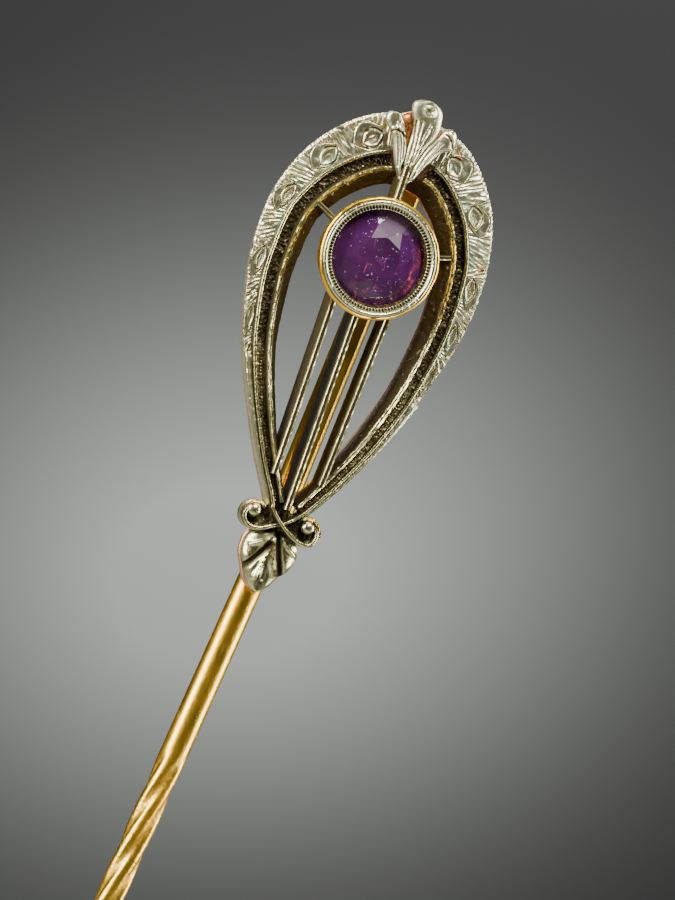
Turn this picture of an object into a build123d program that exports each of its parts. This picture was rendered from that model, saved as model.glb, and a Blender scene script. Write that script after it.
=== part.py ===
"""Stick pin with a pear-shaped openwork head, a round faceted stone in a collar, and a soldered wire stem.

Millimetres. +Z runs up the head's middle, the face looks along -Y, and +X is to the right of the face.
The origin is on the stem's axis where the stem leaves the head, level with the lower tip of the palmette.
A height h is the distance in front of the stem's axis, so it is -Y.
"""
from build123d import *
from math import atan2, cos, degrees, radians, sin
import os

# Head: outline of the pear-shaped frame
FRAME_HEIGHT = 16.6
FRAME_HALF_WIDTH = 4.66
FOOT_RISE = 2.83  # level of the rails' crossing above the origin
FOOT_JOIN = 0.55  # level above the crossing where frame and foot meet

# Widths across the border, from the rim inwards, each at the levels below, as shares of the frame's height
WIDTH_LEVELS = [1.0, 0.84, 0.72, 0.60, 0.48, 0.36, 0.24, 0.12, 0.0]
BORDER_WIDTH = [1.45, 1.12, 0.84, 0.71, 0.50, 0.31, 0.21, 0.14, 0.10]
RAIL_WIDTH = [0.16, 0.16, 0.16, 0.16, 0.16, 0.15, 0.14, 0.13, 0.12]
CHANNEL_WIDTH = [0.45, 0.45, 0.42, 0.40, 0.40, 0.36, 0.31, 0.26, 0.20]
INNER_RAIL_WIDTH = [0.19, 0.19, 0.19, 0.19, 0.18, 0.19, 0.20, 0.17, 0.13]
BEVEL_WIDTH = [0.55, 0.50, 0.45, 0.43, 0.37, 0.25, 0.19, 0.15, 0.12]
BORDER_END = 5.9  # level above the crossing where the engraved border stops

# Stem wire and where the head lies on it
STEM_RADIUS = 0.55
TANG_FLAT = 0.07  # filed off the tang's front, where it is soldered
BACK = STEM_RADIUS - TANG_FLAT  # the head's flat back

# Heights of the frame, in front of the stem's axis
BACKING_THICKNESS = 0.25
PLATE_TOP = BACK + BACKING_THICKNESS
BORDER_THICKNESS = 0.22
CHANNEL_DEPTH = 0.22  # channel floor below the outer rail's top
STRIP_DROP = 0.12  # lower side strips below the outer rail's top
OUTER_RAIL_TOP = BACK + 0.62
BEVEL_EDGE = BACK + 0.50  # front edge of the bevelled wall at the opening
INNER_RAIL_TOP = BACK + 0.94
RIDGE = BACK + 1.27  # tops of the bars and of the crossing
RISE_START = 9.0  # level above the crossing below which the rails climb towards the crossing
UPPER_STEP = 0.08  # inner edge of the bevelled wall below the inner rail's top

# Collar and stone
BEZEL_DROP = 5.72  # collar's centre below the frame's top
STONE_RADIUS = 1.95
STONE_CLEARANCE = 0.03
CUP_WALL = 0.40  # at the collar's lip
BEZEL_RADIUS = STONE_RADIUS + STONE_CLEARANCE + CUP_WALL
BEZEL_TAPER = 0.26  # radius lost from the collar's lip to its base
BEZEL_BASE = BACK + 0.27
BEZEL_FACE = BACK + 1.85
RIM_THICKNESS = 0.24
RIM_INSET = 0.12  # width of the gold lip that shows round the white rim
LIP_DROP = 0.08  # gold lip below the white rim's face
RIM_LAP = 0.05  # how far the white rim laps over the stone
GIRDLE_HEIGHT = 0.06
CROWN_HEIGHT = 0.45
PAVILION_DEPTH = 1.05
TABLE_RADIUS = 0.93
BREAK_ANGLE = 7.0  # girdle facets steeper than the crown's main facets
SEAT_HEIGHT = BACK + 1.18  # girdle's lower edge
SEAT_LEDGE = 0.30
SEAT_DEPTH = 0.35

# Bars and stays
BAR_WIDTH = 0.27
BAR_FLARE = 0.10  # extra width of a bar at its back
BAR_FOOT_OFFSET = 0.93  # side bars' middle lines, where frame and foot meet
LEFT_BAR_LEAN = 0.11
RIGHT_BAR_LEAN = 0.33
STAY_WIDTH = 0.20
STAY_ANGLE = 21.0
STAY_BACK = BACK + 0.62
STAY_TOP = BACK + 1.07
TOP_STAY_WIDTH = 0.40

# Fleur at the top
PETAL_THICKNESS = 0.34
PETAL_BACK = BACK + 1.02
PETAL_DROP = 2.6  # the petals' common foot below the frame's top
FLEUR_SEAT_DROP = 1.4  # start of the fleur's backing below the frame's top

# Foot: plate, scrolls, palmette
FOOT_TOP = BACK + 0.72
SCROLL_OFFSET = 1.12
SCROLL_RADIUS = 0.60
BALL_RADIUS = 0.28
RIBBON_WIDTH = 0.17
RIBBON_DEPTH = 0.40
PALMETTE_BACK = BACK + 0.32
PALMETTE_TOP = BACK + 1.07
GROOVE_WIDTH = 0.20
GROOVE_DEPTH = 0.25

# Stem's run
STEM_LEAN = 4.7  # stem below the head, degrees from the head's axis
TANG_LEAN = 2.6  # stretch soldered behind the head
TANG_DROP = 2.35  # tang's end below the frame's top
BEND_LEVEL = 0.4
BEND_RADIUS = 15.0
PLAIN_LENGTH = 6.7
GRIP_LENGTH = 10.3
GRIP_TURNS = 1.0
GRIP_FLUTES = 4
FLUTE_DEPTH = 0.07
FLUTE_RADIUS = 0.30
SHANK_LENGTH = 19.5
POINT_LENGTH = 7.55
POINT_RADIUS = 0.05

FRAME_TOP = FOOT_RISE + FRAME_HEIGHT
BEZEL_Z = FRAME_TOP - BEZEL_DROP
RISE_Z = FOOT_RISE + RISE_START

# Right half of the pear outline, from the top to the foot: shares of the half width and of the height
OUTLINE = [
    (0.0, 1.0),
    (0.45, 0.966),
    (0.69, 0.906),
    (0.845, 0.843),
    (0.93, 0.783),
    (0.985, 0.717),
    (1.0, 0.65),
    (0.975, 0.554),
    (0.89, 0.452),
    (0.785, 0.361),
    (0.61, 0.241),
    (0.38, 0.12),
    (0.10, 0.0),
]
CURVE_SAMPLES = 16
BLUNT_TIP = 0.04  # half width at which an inner curve ends at its foot


def front(height):
    """Sketch plane facing the viewer at a height in front of the stem's axis, X right and Z up."""
    return Plane.XZ.offset(height)


def plate(face, low, high):
    """Flat piece of the given X-Z outline between two heights."""
    return extrude(front(low) * face, amount=high - low)


def only_solid(shape):
    """The largest solid of a shape, without the compound around it."""
    return shape.solids().sort_by(SortBy.VOLUME)[-1]


def mirrored(solid):
    return mirror(solid, about=Plane.YZ)


def width_at(level, widths):
    """Width at a level given as a share of the frame's height, straight between the listed levels."""
    for upper, lower, wide, narrow in zip(WIDTH_LEVELS, WIDTH_LEVELS[1:], widths, widths[1:]):
        if level >= lower:
            share = (level - lower) / (upper - lower)
            return narrow + share * (wide - narrow)
    return widths[-1]


def pear_spline(points):
    """Smooth curve from the left foot over the top to the right foot, given its right half."""
    left = [(-x, z) for x, z in reversed(points[1:])]
    return Spline(*left, *points)


def down_to_middle(points):
    """The points of a right half until it comes down to the head's middle, where it ends in a blunt tip."""
    kept = points[:1]
    for (x, z), (next_x, next_z) in zip(points, points[1:]):
        if next_x < BLUNT_TIP:
            share = (x - BLUNT_TIP) / (x - next_x)
            return [*kept, (BLUNT_TIP, z + share * (next_z - z))]
        kept.append((next_x, next_z))
    return kept


def pear_curves():
    """The rim and the five curves inside it, each as points of its right half from the top to the foot."""
    rim_points = [(x * FRAME_HALF_WIDTH, FOOT_RISE + z * FRAME_HEIGHT) for x, z in OUTLINE]
    rim = pear_spline(rim_points)
    bands = [BORDER_WIDTH, RAIL_WIDTH, CHANNEL_WIDTH, INNER_RAIL_WIDTH, BEVEL_WIDTH]
    curves = [[] for _ in range(len(bands) + 1)]
    for i in range(CURVE_SAMPLES):
        share = 0.5 + 0.5 * i / (CURVE_SAMPLES - 1)
        point = rim @ share
        along = rim % share
        level = (point.Y - FOOT_RISE) / FRAME_HEIGHT
        offset = 0.0
        curves[0].append((point.X, point.Y))
        for curve, widths in zip(curves[1:], bands):
            offset += width_at(level, widths)
            curve.append((point.X + along.Y * offset, point.Y - along.X * offset))
    return [down_to_middle(curve) for curve in curves]


RIM, RAIL_OUT, RAIL_IN, INNER_OUT, INNER_IN, OPENING = pear_curves()


def inside(points):
    """What lies inside one of the pear curves, down to where frame and foot meet."""
    curve = pear_spline(points)
    x, z = points[-1]
    region = make_face(Wire([*curve.edges(), *Line((x, z), (-x, z)).edges()]))
    keep = Pos(0, FOOT_RISE + FOOT_JOIN + FRAME_HEIGHT) * Rectangle(4 * FRAME_HALF_WIDTH, 2 * FRAME_HEIGHT)
    return region & keep


REGIONS = [inside(points) for points in (RIM, RAIL_OUT, RAIL_IN, INNER_OUT, INNER_IN, OPENING)]


def band(outer, inner):
    """Strip between two of the pear curves, numbered from the rim."""
    return REGIONS[outer] - REGIONS[inner]


def right_half(shape):
    reach = 2 * FRAME_TOP
    return only_solid(shape & Pos(reach / 2, 0, FRAME_TOP / 2) * Box(reach, reach, 2 * FRAME_TOP))


def rising_block(upper_height, foot_height, start=RISE_Z):
    """Everything behind a front that is level above a start and climbs to foot_height at the crossing."""
    lean = (foot_height - upper_height) / (start - FOOT_RISE)
    lowest = -2.0
    profile = Polyline(
        (1, FRAME_TOP + 2),
        (-upper_height, FRAME_TOP + 2),
        (-upper_height, start),
        (-foot_height - lean * (FOOT_RISE - lowest), lowest),
        (1, lowest),
        close=True,
    )
    return extrude(Plane.YZ * make_face(profile), amount=3 * FRAME_HALF_WIDTH, both=True)


def rising_band(outer, inner, upper_height, foot_height):
    """Strip standing on the backing plate, with a front that climbs towards the foot."""
    prism = plate(band(outer, inner), PLATE_TOP, RIDGE + 1)
    return prism & rising_block(upper_height, foot_height)


def backing_plate():
    return only_solid(plate(band(0, 5), BACK, PLATE_TOP))


def below_border():
    """Box below the level where the engraved border stops."""
    height = BORDER_END
    return Pos(0, 0, FOOT_RISE + height / 2) * Box(4 * FRAME_HALF_WIDTH, 20, height)


def engraved_border():
    flange = plate(band(0, 1), PLATE_TOP, PLATE_TOP + BORDER_THICKNESS)
    return only_solid(flange - below_border())


def lower_side():
    whole = rising_band(0, 1, OUTER_RAIL_TOP - STRIP_DROP, RIDGE - STRIP_DROP)
    return right_half(whole & below_border())


def channel_floor():
    return right_half(rising_band(2, 3, OUTER_RAIL_TOP - CHANNEL_DEPTH, RIDGE - 2 * CHANNEL_DEPTH))


def inner_rail():
    return right_half(rising_band(3, 4, INNER_RAIL_TOP, RIDGE))


def gallery_wall():
    """Ring with a sloped face from the opening's edge up to the inner rail."""
    ring = rising_band(4, 5, INNER_RAIL_TOP - UPPER_STEP, RIDGE - UPPER_STEP)
    edge, top = BEVEL_EDGE, INNER_RAIL_TOP - UPPER_STEP
    low = [(x, -edge, z) for x, z in OPENING]
    high = [(x, -top, z) for x, z in INNER_IN]
    slope = Solid.make_loft([closed_pear(low), closed_pear(high)], ruled=True)
    return only_solid(ring - slope)


def closed_pear(points):
    """Closed wire through a right-half curve and its mirror image."""
    left = [(-x, y, z) for x, y, z in reversed(points[1:-1])]
    loop = [p for p in [*points, *left] if p[2] > FOOT_RISE + FOOT_JOIN + 0.3]
    return Wire.make_polygon(loop, close=True)


def bezel_blank():
    """Solid cone of the collar's outer shape, from behind the head to past its face."""
    height = BEZEL_FACE - BEZEL_BASE
    slope = BEZEL_TAPER / height
    back, past = BEZEL_BASE - BACK, 0.5
    cone = Solid.make_cone(
        BEZEL_RADIUS - BEZEL_TAPER - slope * back,
        BEZEL_RADIUS + slope * past,
        height + back + past,
        Plane(origin=(0, -BACK, BEZEL_Z), z_dir=(0, -1, 0)),
    )
    return cone


def bezel_disc(radius, low, high):
    return plate(Pos(0, BEZEL_Z) * Circle(radius), low, high)


def bezel_cup():
    """Tapered wall with a lip that stands round the white rim."""
    blank = bezel_blank() & bezel_disc(2 * BEZEL_RADIUS, BEZEL_BASE, BEZEL_FACE - LIP_DROP)
    bore = bezel_disc(BEZEL_RADIUS - CUP_WALL, BEZEL_BASE - 1, BEZEL_FACE)
    rim_seat = bezel_disc(BEZEL_RADIUS - RIM_INSET, BEZEL_FACE - RIM_THICKNESS, BEZEL_FACE)
    return only_solid(blank - bore - rim_seat)


def bezel_rim():
    ring = bezel_disc(BEZEL_RADIUS - RIM_INSET, BEZEL_FACE - RIM_THICKNESS, BEZEL_FACE)
    bore = bezel_disc(STONE_RADIUS - RIM_LAP, BEZEL_BASE, BEZEL_FACE + 1)
    return only_solid(ring - bore)


def stone_bearing():
    outer = bezel_disc(BEZEL_RADIUS - CUP_WALL, SEAT_HEIGHT - SEAT_DEPTH, SEAT_HEIGHT)
    hole = bezel_disc(BEZEL_RADIUS - CUP_WALL - SEAT_LEDGE, SEAT_HEIGHT - SEAT_DEPTH - 1, SEAT_HEIGHT + 1)
    return only_solid(outer - hole - stone_cutter())


def facet_ring(count, phase, radius, height, tilt):
    """Blocks that cut one ring of facets: each face passes through a point at radius and height."""
    cuts = []
    reach = 4 * STONE_RADIUS
    for i in range(count):
        turn = phase + 360 * i / count
        block = Pos(0, 0, reach / 2) * Box(reach, reach, reach)
        cuts.append(Rot(0, 0, turn) * Pos(radius, 0, height) * Rot(0, tilt, 0) * block)
    return cuts


def stone_blank(radius):
    """Cut stone standing on its culet axis: girdle at z=0, crown up, pavilion down."""
    crown_angle = degrees(atan2(CROWN_HEIGHT, STONE_RADIUS - TABLE_RADIUS))
    pavilion_angle = degrees(atan2(PAVILION_DEPTH, STONE_RADIUS))
    body = Pos(0, 0, -PAVILION_DEPTH) * extrude(
        RegularPolygon(radius, 16), amount=PAVILION_DEPTH + GIRDLE_HEIGHT + CROWN_HEIGHT
    )
    cuts = []
    cuts += facet_ring(8, 0, radius, GIRDLE_HEIGHT, crown_angle)
    cuts += facet_ring(8, 0, radius, 0, 180 - pavilion_angle)
    cuts += facet_ring(16, 11.25, radius, GIRDLE_HEIGHT, crown_angle + BREAK_ANGLE)
    for cut in cuts:
        body = body - cut
    return only_solid(body)


def amethyst():
    stone = stone_blank(STONE_RADIUS)
    return only_solid(Pos(0, -SEAT_HEIGHT, BEZEL_Z) * Rot(90, 0, 0) * stone)


def stone_cutter():
    """The stone grown by its clearance, to cut its seat."""
    stone = stone_blank(STONE_RADIUS + STONE_CLEARANCE)
    return only_solid(Pos(0, -SEAT_HEIGHT, BEZEL_Z) * Rot(90, 0, 0) * stone)


def bar(foot, head):
    """Upright bar between two points of the X-Z plane, wider at its back than at its front."""
    run = Vector(head[0] - foot[0], head[1] - foot[1])
    across = Vector(run.Y, -run.X).normalized()
    wires = []
    for height, width in ((PLATE_TOP, BAR_WIDTH + BAR_FLARE), (RIDGE, BAR_WIDTH)):
        half = across * (width / 2)
        ends = [(*foot, 1), (*foot, -1), (*head, -1), (*head, 1)]
        corners = [(x + half.X * side, -height, z + half.Y * side) for x, z, side in ends]
        wires.append(Wire.make_polygon(corners, close=True))
    return Solid.make_loft(wires, ruled=True)


def side_bar(side, lean):
    foot = (side * BAR_FOOT_OFFSET, FOOT_RISE + FOOT_JOIN)
    head = (side * (BAR_FOOT_OFFSET + lean), BEZEL_Z - 1)
    return bar(foot, head)


def centre_bar():
    return bar((0, FOOT_RISE + FOOT_JOIN), (0, BEZEL_Z - 1))


def trimmed(piece, *others):
    """A piece with its neighbours cut away, as its largest solid."""
    for other in others:
        piece = piece - other
    return only_solid(piece)


def side_stay(side):
    reach = FRAME_HALF_WIDTH
    blade = plate(Pos(reach / 2, 0) * Rectangle(reach, STAY_WIDTH), STAY_BACK, STAY_TOP)
    turned = Pos(0, 0, BEZEL_Z) * Rot(0, -STAY_ANGLE, 0) * blade
    return mirrored(turned) if side < 0 else turned


def inner_space():
    """Everything inside the inner rail's inner edge."""
    return plate(REGIONS[4], BACK - 1, RIDGE + 1)


def top_stay():
    top = FRAME_TOP
    blade = Pos(0, (BEZEL_Z + top) / 2) * Rectangle(TOP_STAY_WIDTH, top - BEZEL_Z)
    return plate(blade, STAY_BACK, RIDGE)


def closed_outline(points):
    """Face inside a smooth closed outline with one corner, at its first point."""
    curve = Spline(*points, points[0])
    return make_face(Wire(curve.edges()))


def placed(face, level):
    """An outline drawn about the head's axis, moved up to a level above the crossing."""
    return Pos(0, FOOT_RISE + level) * face


def fleur_petals():
    """Centre, left and right petals as solids that only touch each other."""
    centre = closed_outline(
        [(0.0, -0.1), (-0.22, 0.3), (-0.12, 1.0), (-0.27, 1.9), (-0.6, 2.7), (-0.55, 3.1), (0.0, 3.28)]
        + [(0.52, 3.05), (0.66, 2.6), (0.4, 2.1), (0.18, 1.3), (0.3, 0.4)]
    )
    left = closed_outline(
        [(-0.25, 0.2), (-0.55, 0.6), (-0.95, 1.4), (-1.45, 2.05), (-1.3, 2.38), (-0.95, 2.4)]
        + [(-0.55, 1.8), (-0.25, 1.0)]
    )
    right = closed_outline(
        [(0.3, 0.2), (0.62, 0.75), (0.95, 1.45), (1.5, 1.95), (1.42, 2.35), (1.08, 2.5)]
        + [(0.62, 2.0), (0.3, 1.1)]
    )
    top = PETAL_BACK + PETAL_THICKNESS
    level = FRAME_HEIGHT - PETAL_DROP
    solids = [plate(placed(face, level), PETAL_BACK, top) for face in (centre, left, right)]
    middle = only_solid(solids[0])
    return middle, only_solid(solids[1] - middle), only_solid(solids[2] - middle)


def fleur_backing():
    """Plate under the petals, outside the rails, standing on the border."""
    outline = closed_outline(
        [(0.0, 0.0), (-0.6, 0.1), (-0.95, 0.7), (-0.85, 1.15), (-0.45, 1.5), (0.0, 1.75)]
        + [(0.45, 1.5), (0.85, 1.15), (0.95, 0.7), (0.6, 0.1)]
    )
    level = FRAME_HEIGHT - FLEUR_SEAT_DROP
    return plate(placed(outline, level), PLATE_TOP + BORDER_THICKNESS, PETAL_BACK)


def foot_plate():
    disc = Circle(SCROLL_RADIUS)
    discs = Pos(-SCROLL_OFFSET, 0.03) * disc + Pos(SCROLL_OFFSET, 0.0) * disc
    middle = Pos(0, 0.05) * Rectangle(2 * SCROLL_OFFSET, 1.0)
    whole = plate(placed(discs + middle, 0), BACK, FOOT_TOP)
    return trimmed(whole, plate(REGIONS[0], BACK - 1, RIDGE + 1))


def x_at_join(points):
    """Where one of the pear curves reaches the level at which frame and foot meet."""
    level = FOOT_RISE + FOOT_JOIN
    for (x, z), (next_x, next_z) in zip(points, points[1:]):
        if next_z <= level:
            share = (z - level) / (z - next_z)
            return x + share * (next_x - x)
    return points[-1][0]


def ribbon(side, low, high):
    """Flat wire from the rail on one side through the crossing into the scroll on the other side."""
    rail_middle = (x_at_join(RAIL_OUT) + x_at_join(RAIL_IN)) / 2
    points = [
        (-side * rail_middle, FOOT_JOIN),
        (0, 0),
        (side * 0.62, -0.39),
        (side * 1.06, -0.49),
        (side * 1.45, -0.22),
        (side * 1.50, 0.12),
        (side * 1.26, 0.36),
    ]
    path = Spline(*points)
    flat = trace(path, RIBBON_WIDTH)
    return only_solid(plate(placed(flat, 0), low, high))


def scroll_ball(side):
    place = Pos(side * SCROLL_OFFSET, -FOOT_TOP, FOOT_RISE + 0.16)
    return place * Sphere(BALL_RADIUS)


def palmette_outline(grow=0.0):
    points = [
        (-0.2, -0.3),
        (-1.15 - grow, -0.72),
        (-1.24 - grow, -1.15),
        (-1.02 - grow, -1.75),
        (-0.78 - grow, -2.02),
        (-0.45 - grow, -2.5),
        (-0.02, -2.83),
        (0.45 + grow, -2.4),
        (0.66 + grow, -2.0),
        (0.98 + grow, -1.5),
        (1.1 + grow, -1.1),
        (1.05 + grow, -0.72),
        (0.2, -0.3),
    ]
    return make_face(Polyline(*points, close=True))


def palmette():
    whole = plate(placed(palmette_outline(), 0), PALMETTE_BACK, PALMETTE_TOP)
    for side in (-1, 1):
        run = Polyline((side * 0.1, -0.75), (side * 0.62, -1.95))
        groove = trace(run, GROOVE_WIDTH)
        whole = whole - plate(placed(groove, 0), PALMETTE_TOP - GROOVE_DEPTH, PALMETTE_TOP + 1)
    return trimmed(whole, foot_plate())


def palmette_backing():
    whole = plate(placed(palmette_outline(), 0), BACK, PALMETTE_BACK)
    return trimmed(whole, foot_plate())


def stem_direction(lean):
    return Vector(sin(radians(lean)), 0, cos(radians(lean)))


def stem_stretch(length, start, radius, end_radius):
    """Round stretch of the stem below the head, from start along the axis towards the point."""
    down = stem_direction(STEM_LEAN) * -1
    base = Plane(origin=down * start, z_dir=down)
    if radius == end_radius:
        return Solid.make_cylinder(radius, length, base)
    return Solid.make_cone(radius, end_radius, length, base)


def stem_grip():
    """Twisted stretch with shallow flutes, no thicker than the plain wire."""
    down = stem_direction(STEM_LEAN) * -1
    section = Circle(STEM_RADIUS)
    centre = STEM_RADIUS - FLUTE_DEPTH + FLUTE_RADIUS
    for i in range(GRIP_FLUTES):
        section = section - Rot(0, 0, 360 * i / GRIP_FLUTES) * Pos(centre, 0) * Circle(FLUTE_RADIUS)
    twisted = Solid.extrude_linear_with_rotation(
        section.face(), (0, 0, 0), (0, 0, GRIP_LENGTH), 360 * GRIP_TURNS
    )
    return Plane(origin=down * PLAIN_LENGTH, z_dir=down) * twisted


def stem_tang():
    """Stretch behind the head with its gentle bend, filed flat where it is soldered."""
    below, above = stem_direction(STEM_LEAN), stem_direction(TANG_LEAN)
    bend = below * (BEND_LEVEL / below.Z)
    top = bend + above * ((FRAME_TOP - TANG_DROP - BEND_LEVEL) / above.Z)
    path = FilletPolyline(Vector(0, 0, 0), bend, top, radius=BEND_RADIUS)
    section = Plane(origin=(0, 0, 0), z_dir=below) * Circle(STEM_RADIUS)
    wire = sweep(section, path=path)
    reach = FRAME_TOP
    filed = Pos(0, -BACK - 5, reach / 2) * Box(20, 10, reach + 20)
    above_origin = Pos(0, 0, reach) * Box(40, 40, 2 * reach)
    return wire - (filed & above_origin)


def stem():
    plain = stem_stretch(PLAIN_LENGTH, 0, STEM_RADIUS, STEM_RADIUS)
    shank_start = PLAIN_LENGTH + GRIP_LENGTH
    shank = stem_stretch(SHANK_LENGTH, shank_start, STEM_RADIUS, STEM_RADIUS)
    point = stem_stretch(POINT_LENGTH, shank_start + SHANK_LENGTH, STEM_RADIUS, POINT_RADIUS)
    return only_solid(stem_tang() + plain + stem_grip() + shank + point)


def build_parts():
    """Every sub-part by name, each cut back where a neighbour has the space."""
    parts = {}
    parts["backing_plate"] = backing_plate()
    parts["engraved_border"] = engraved_border()
    side = lower_side()
    parts["right_lower_side"] = side
    parts["left_lower_side"] = mirrored(side)
    floor = channel_floor()
    parts["right_channel_floor"] = floor
    parts["left_channel_floor"] = mirrored(floor)
    rail = right_half(rising_band(1, 2, OUTER_RAIL_TOP, RIDGE))
    over = ribbon(1, RIDGE - RIBBON_DEPTH, RIDGE)
    under = ribbon(-1, FOOT_TOP, RIDGE - 0.5 * RIBBON_DEPTH)
    parts["left_rail"] = mirrored(rail) + over
    parts["right_rail"] = trimmed(rail + under, over)
    inner = inner_rail()
    parts["right_inner_rail"] = inner
    parts["left_inner_rail"] = mirrored(inner)
    parts["gallery_wall"] = trimmed(gallery_wall(), bezel_blank())
    frame = [parts["backing_plate"], parts["gallery_wall"], inner, mirrored(inner)]
    space = inner_space()
    for name, blade in (
        ("left_bar", side_bar(-1, LEFT_BAR_LEAN)),
        ("right_bar", side_bar(1, RIGHT_BAR_LEAN)),
        ("centre_bar", centre_bar()),
    ):
        parts[name] = trimmed(blade & space, bezel_blank(), *frame)
    petals = fleur_petals()
    for name, blade in (
        ("left_stay", side_stay(-1)),
        ("right_stay", side_stay(1)),
        ("top_stay", top_stay()),
    ):
        parts[name] = trimmed(blade & space, bezel_blank(), parts["gallery_wall"], petals[0])
    parts["bezel_cup"] = bezel_cup()
    parts["bezel_rim"] = bezel_rim()
    parts["stone_bearing"] = stone_bearing()
    parts["amethyst"] = amethyst()
    for name, petal in zip(("centre", "left", "right"), petals):
        parts[f"fleur_{name}_petal"] = petal
    parts["fleur_backing"] = only_solid(fleur_backing())
    plate_at_foot = foot_plate()
    parts["foot_plate"] = plate_at_foot
    parts["left_scroll_ball"] = trimmed(scroll_ball(-1), plate_at_foot, parts["right_rail"])
    parts["right_scroll_ball"] = trimmed(scroll_ball(1), plate_at_foot, parts["left_rail"])
    parts["palmette"] = trimmed(palmette(), parts["left_rail"], parts["right_rail"])
    parts["palmette_backing"] = palmette_backing()
    parts["stem"] = stem()
    return parts


os.makedirs("parts", exist_ok=True)
for name, piece in build_parts().items():
    solid = only_solid(piece)
    solid.label = name
    export_step(solid, f"parts/{name}.step")
    print(f"{name}: {solid.volume:.3f} mm3")
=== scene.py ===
import math
import bmesh
import bpy
import numpy as np
from mathutils import Matrix, Vector


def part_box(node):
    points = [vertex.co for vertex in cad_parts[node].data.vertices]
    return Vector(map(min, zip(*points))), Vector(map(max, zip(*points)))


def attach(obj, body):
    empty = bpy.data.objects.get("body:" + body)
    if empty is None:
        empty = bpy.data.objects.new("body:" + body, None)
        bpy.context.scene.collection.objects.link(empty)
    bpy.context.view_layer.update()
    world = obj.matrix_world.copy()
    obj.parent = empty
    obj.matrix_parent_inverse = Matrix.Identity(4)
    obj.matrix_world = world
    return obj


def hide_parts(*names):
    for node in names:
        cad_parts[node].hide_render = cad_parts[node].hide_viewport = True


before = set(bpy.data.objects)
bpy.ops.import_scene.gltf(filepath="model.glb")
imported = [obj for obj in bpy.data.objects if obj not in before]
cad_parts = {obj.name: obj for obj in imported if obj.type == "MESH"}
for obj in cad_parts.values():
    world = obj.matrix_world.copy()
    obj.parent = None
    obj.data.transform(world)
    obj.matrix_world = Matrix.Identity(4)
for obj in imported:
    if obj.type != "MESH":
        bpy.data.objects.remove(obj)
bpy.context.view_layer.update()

# Lengths are millimetres until a mesh is made. x runs right, z up the head, and a height h is -y, the
# distance in front of the stem's axis. A level u is z less FOOT, so that the rails cross at u = 0. A side is
# -1 on the left of the head and 1 on the right.
MM = 0.001
FOOT = 2.83
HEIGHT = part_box("backing_plate")[1].z / MM - FOOT
HALF_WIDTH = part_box("backing_plate")[1].x / MM
BACK = -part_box("backing_plate")[1].y / MM
PLATE_TOP = -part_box("backing_plate")[0].y / MM
RIDGE = -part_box("centre_bar")[0].y / MM
OUTER_TOP = 1.10
INNER_TOP = 1.42
FLANGE_TOP = -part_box("engraved_border")[0].y / MM
RISE_START = 9.0
JOIN = 0.55
BORDER_END = {-1: 5.75, 1: 6.0}
WORD = {-1: "left", 1: "right"}

# Right half of the pear's rim, from the top to the foot: shares of the half width and of the height
OUTLINE = np.array([
    (0.0, 1.0), (0.45, 0.966), (0.69, 0.906), (0.845, 0.843), (0.93, 0.783), (0.985, 0.717), (1.0, 0.65),
    (0.975, 0.554), (0.89, 0.452), (0.785, 0.361), (0.61, 0.241), (0.38, 0.12), (0.10, 0.0),
])
LEVELS = np.array([0.0, 0.12, 0.24, 0.36, 0.48, 0.60, 0.72, 0.84, 1.0])
BAND_WIDTHS = np.array([
    [0.10, 0.14, 0.21, 0.31, 0.50, 0.71, 0.84, 1.12, 1.45],  # border
    [0.12, 0.13, 0.14, 0.15, 0.16, 0.16, 0.16, 0.16, 0.16],  # outer rail
    [0.20, 0.26, 0.31, 0.36, 0.40, 0.40, 0.42, 0.45, 0.45],  # channel
    [0.13, 0.17, 0.20, 0.19, 0.18, 0.19, 0.19, 0.19, 0.19],  # inner rail
    [0.12, 0.15, 0.19, 0.25, 0.37, 0.43, 0.45, 0.50, 0.55],  # gallery wall
])
BEZEL_Z = FOOT + HEIGHT - 5.72
MIDDLE_GAP = 0.02


# ---------------------------------------------------------------- lines and noise

def arc_length(line):
    """Distance along a line to each of its points: the running sum of the steps between them."""
    return np.concatenate([[0.0], np.cumsum(np.linalg.norm(np.diff(line, axis=0), axis=1))])


def evenly(line, count):
    """The same line with points at equal arc lengths: each coordinate interpolated over the arc length."""
    reach = arc_length(line)
    at = np.linspace(0.0, reach[-1], count)
    return np.stack([np.interp(at, reach, line[:, i]) for i in range(line.shape[1])], axis=1)


def spline(points, count):
    """Natural cubic spline through the points, with chord length as its parameter, spaced evenly."""
    p = np.asarray(points, float)
    gaps = np.linalg.norm(np.diff(p, axis=0), axis=1)
    knots = arc_length(p)
    n = len(p)
    left = np.eye(n)
    right = np.zeros_like(p)
    i = np.arange(1, n - 1)
    left[i, i - 1] = gaps[:-1]
    left[i, i] = 2 * (gaps[:-1] + gaps[1:])
    left[i, i + 1] = gaps[1:]
    slopes = np.diff(p, axis=0) / gaps[:, None]
    right[1:-1] = 6 * np.diff(slopes, axis=0)
    bend = np.linalg.solve(left, right)
    fine = np.linspace(0.0, knots[-1], 40 * n)
    k = np.clip(np.searchsorted(knots, fine, side="right") - 1, 0, n - 2)
    gap = gaps[k][:, None]
    a = (knots[k + 1] - fine)[:, None] / gap
    b = 1 - a
    line = a * p[k] + b * p[k + 1] + ((a**3 - a) * bend[k] + (b**3 - b) * bend[k + 1]) * gap**2 / 6
    return evenly(line, count)


def step(value, low, high):
    """Smooth step: 0 below low, 1 above high, and the cubic 3t^2 - 2t^3 between."""
    t = np.clip((value - low) / (high - low), 0, 1)
    return t * t * (3 - 2 * t)


def bump(value, centre, width):
    """Bell curve: e to the minus square of the distance from centre in widths."""
    return np.exp(-(((value - centre) / width) ** 2))


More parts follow.
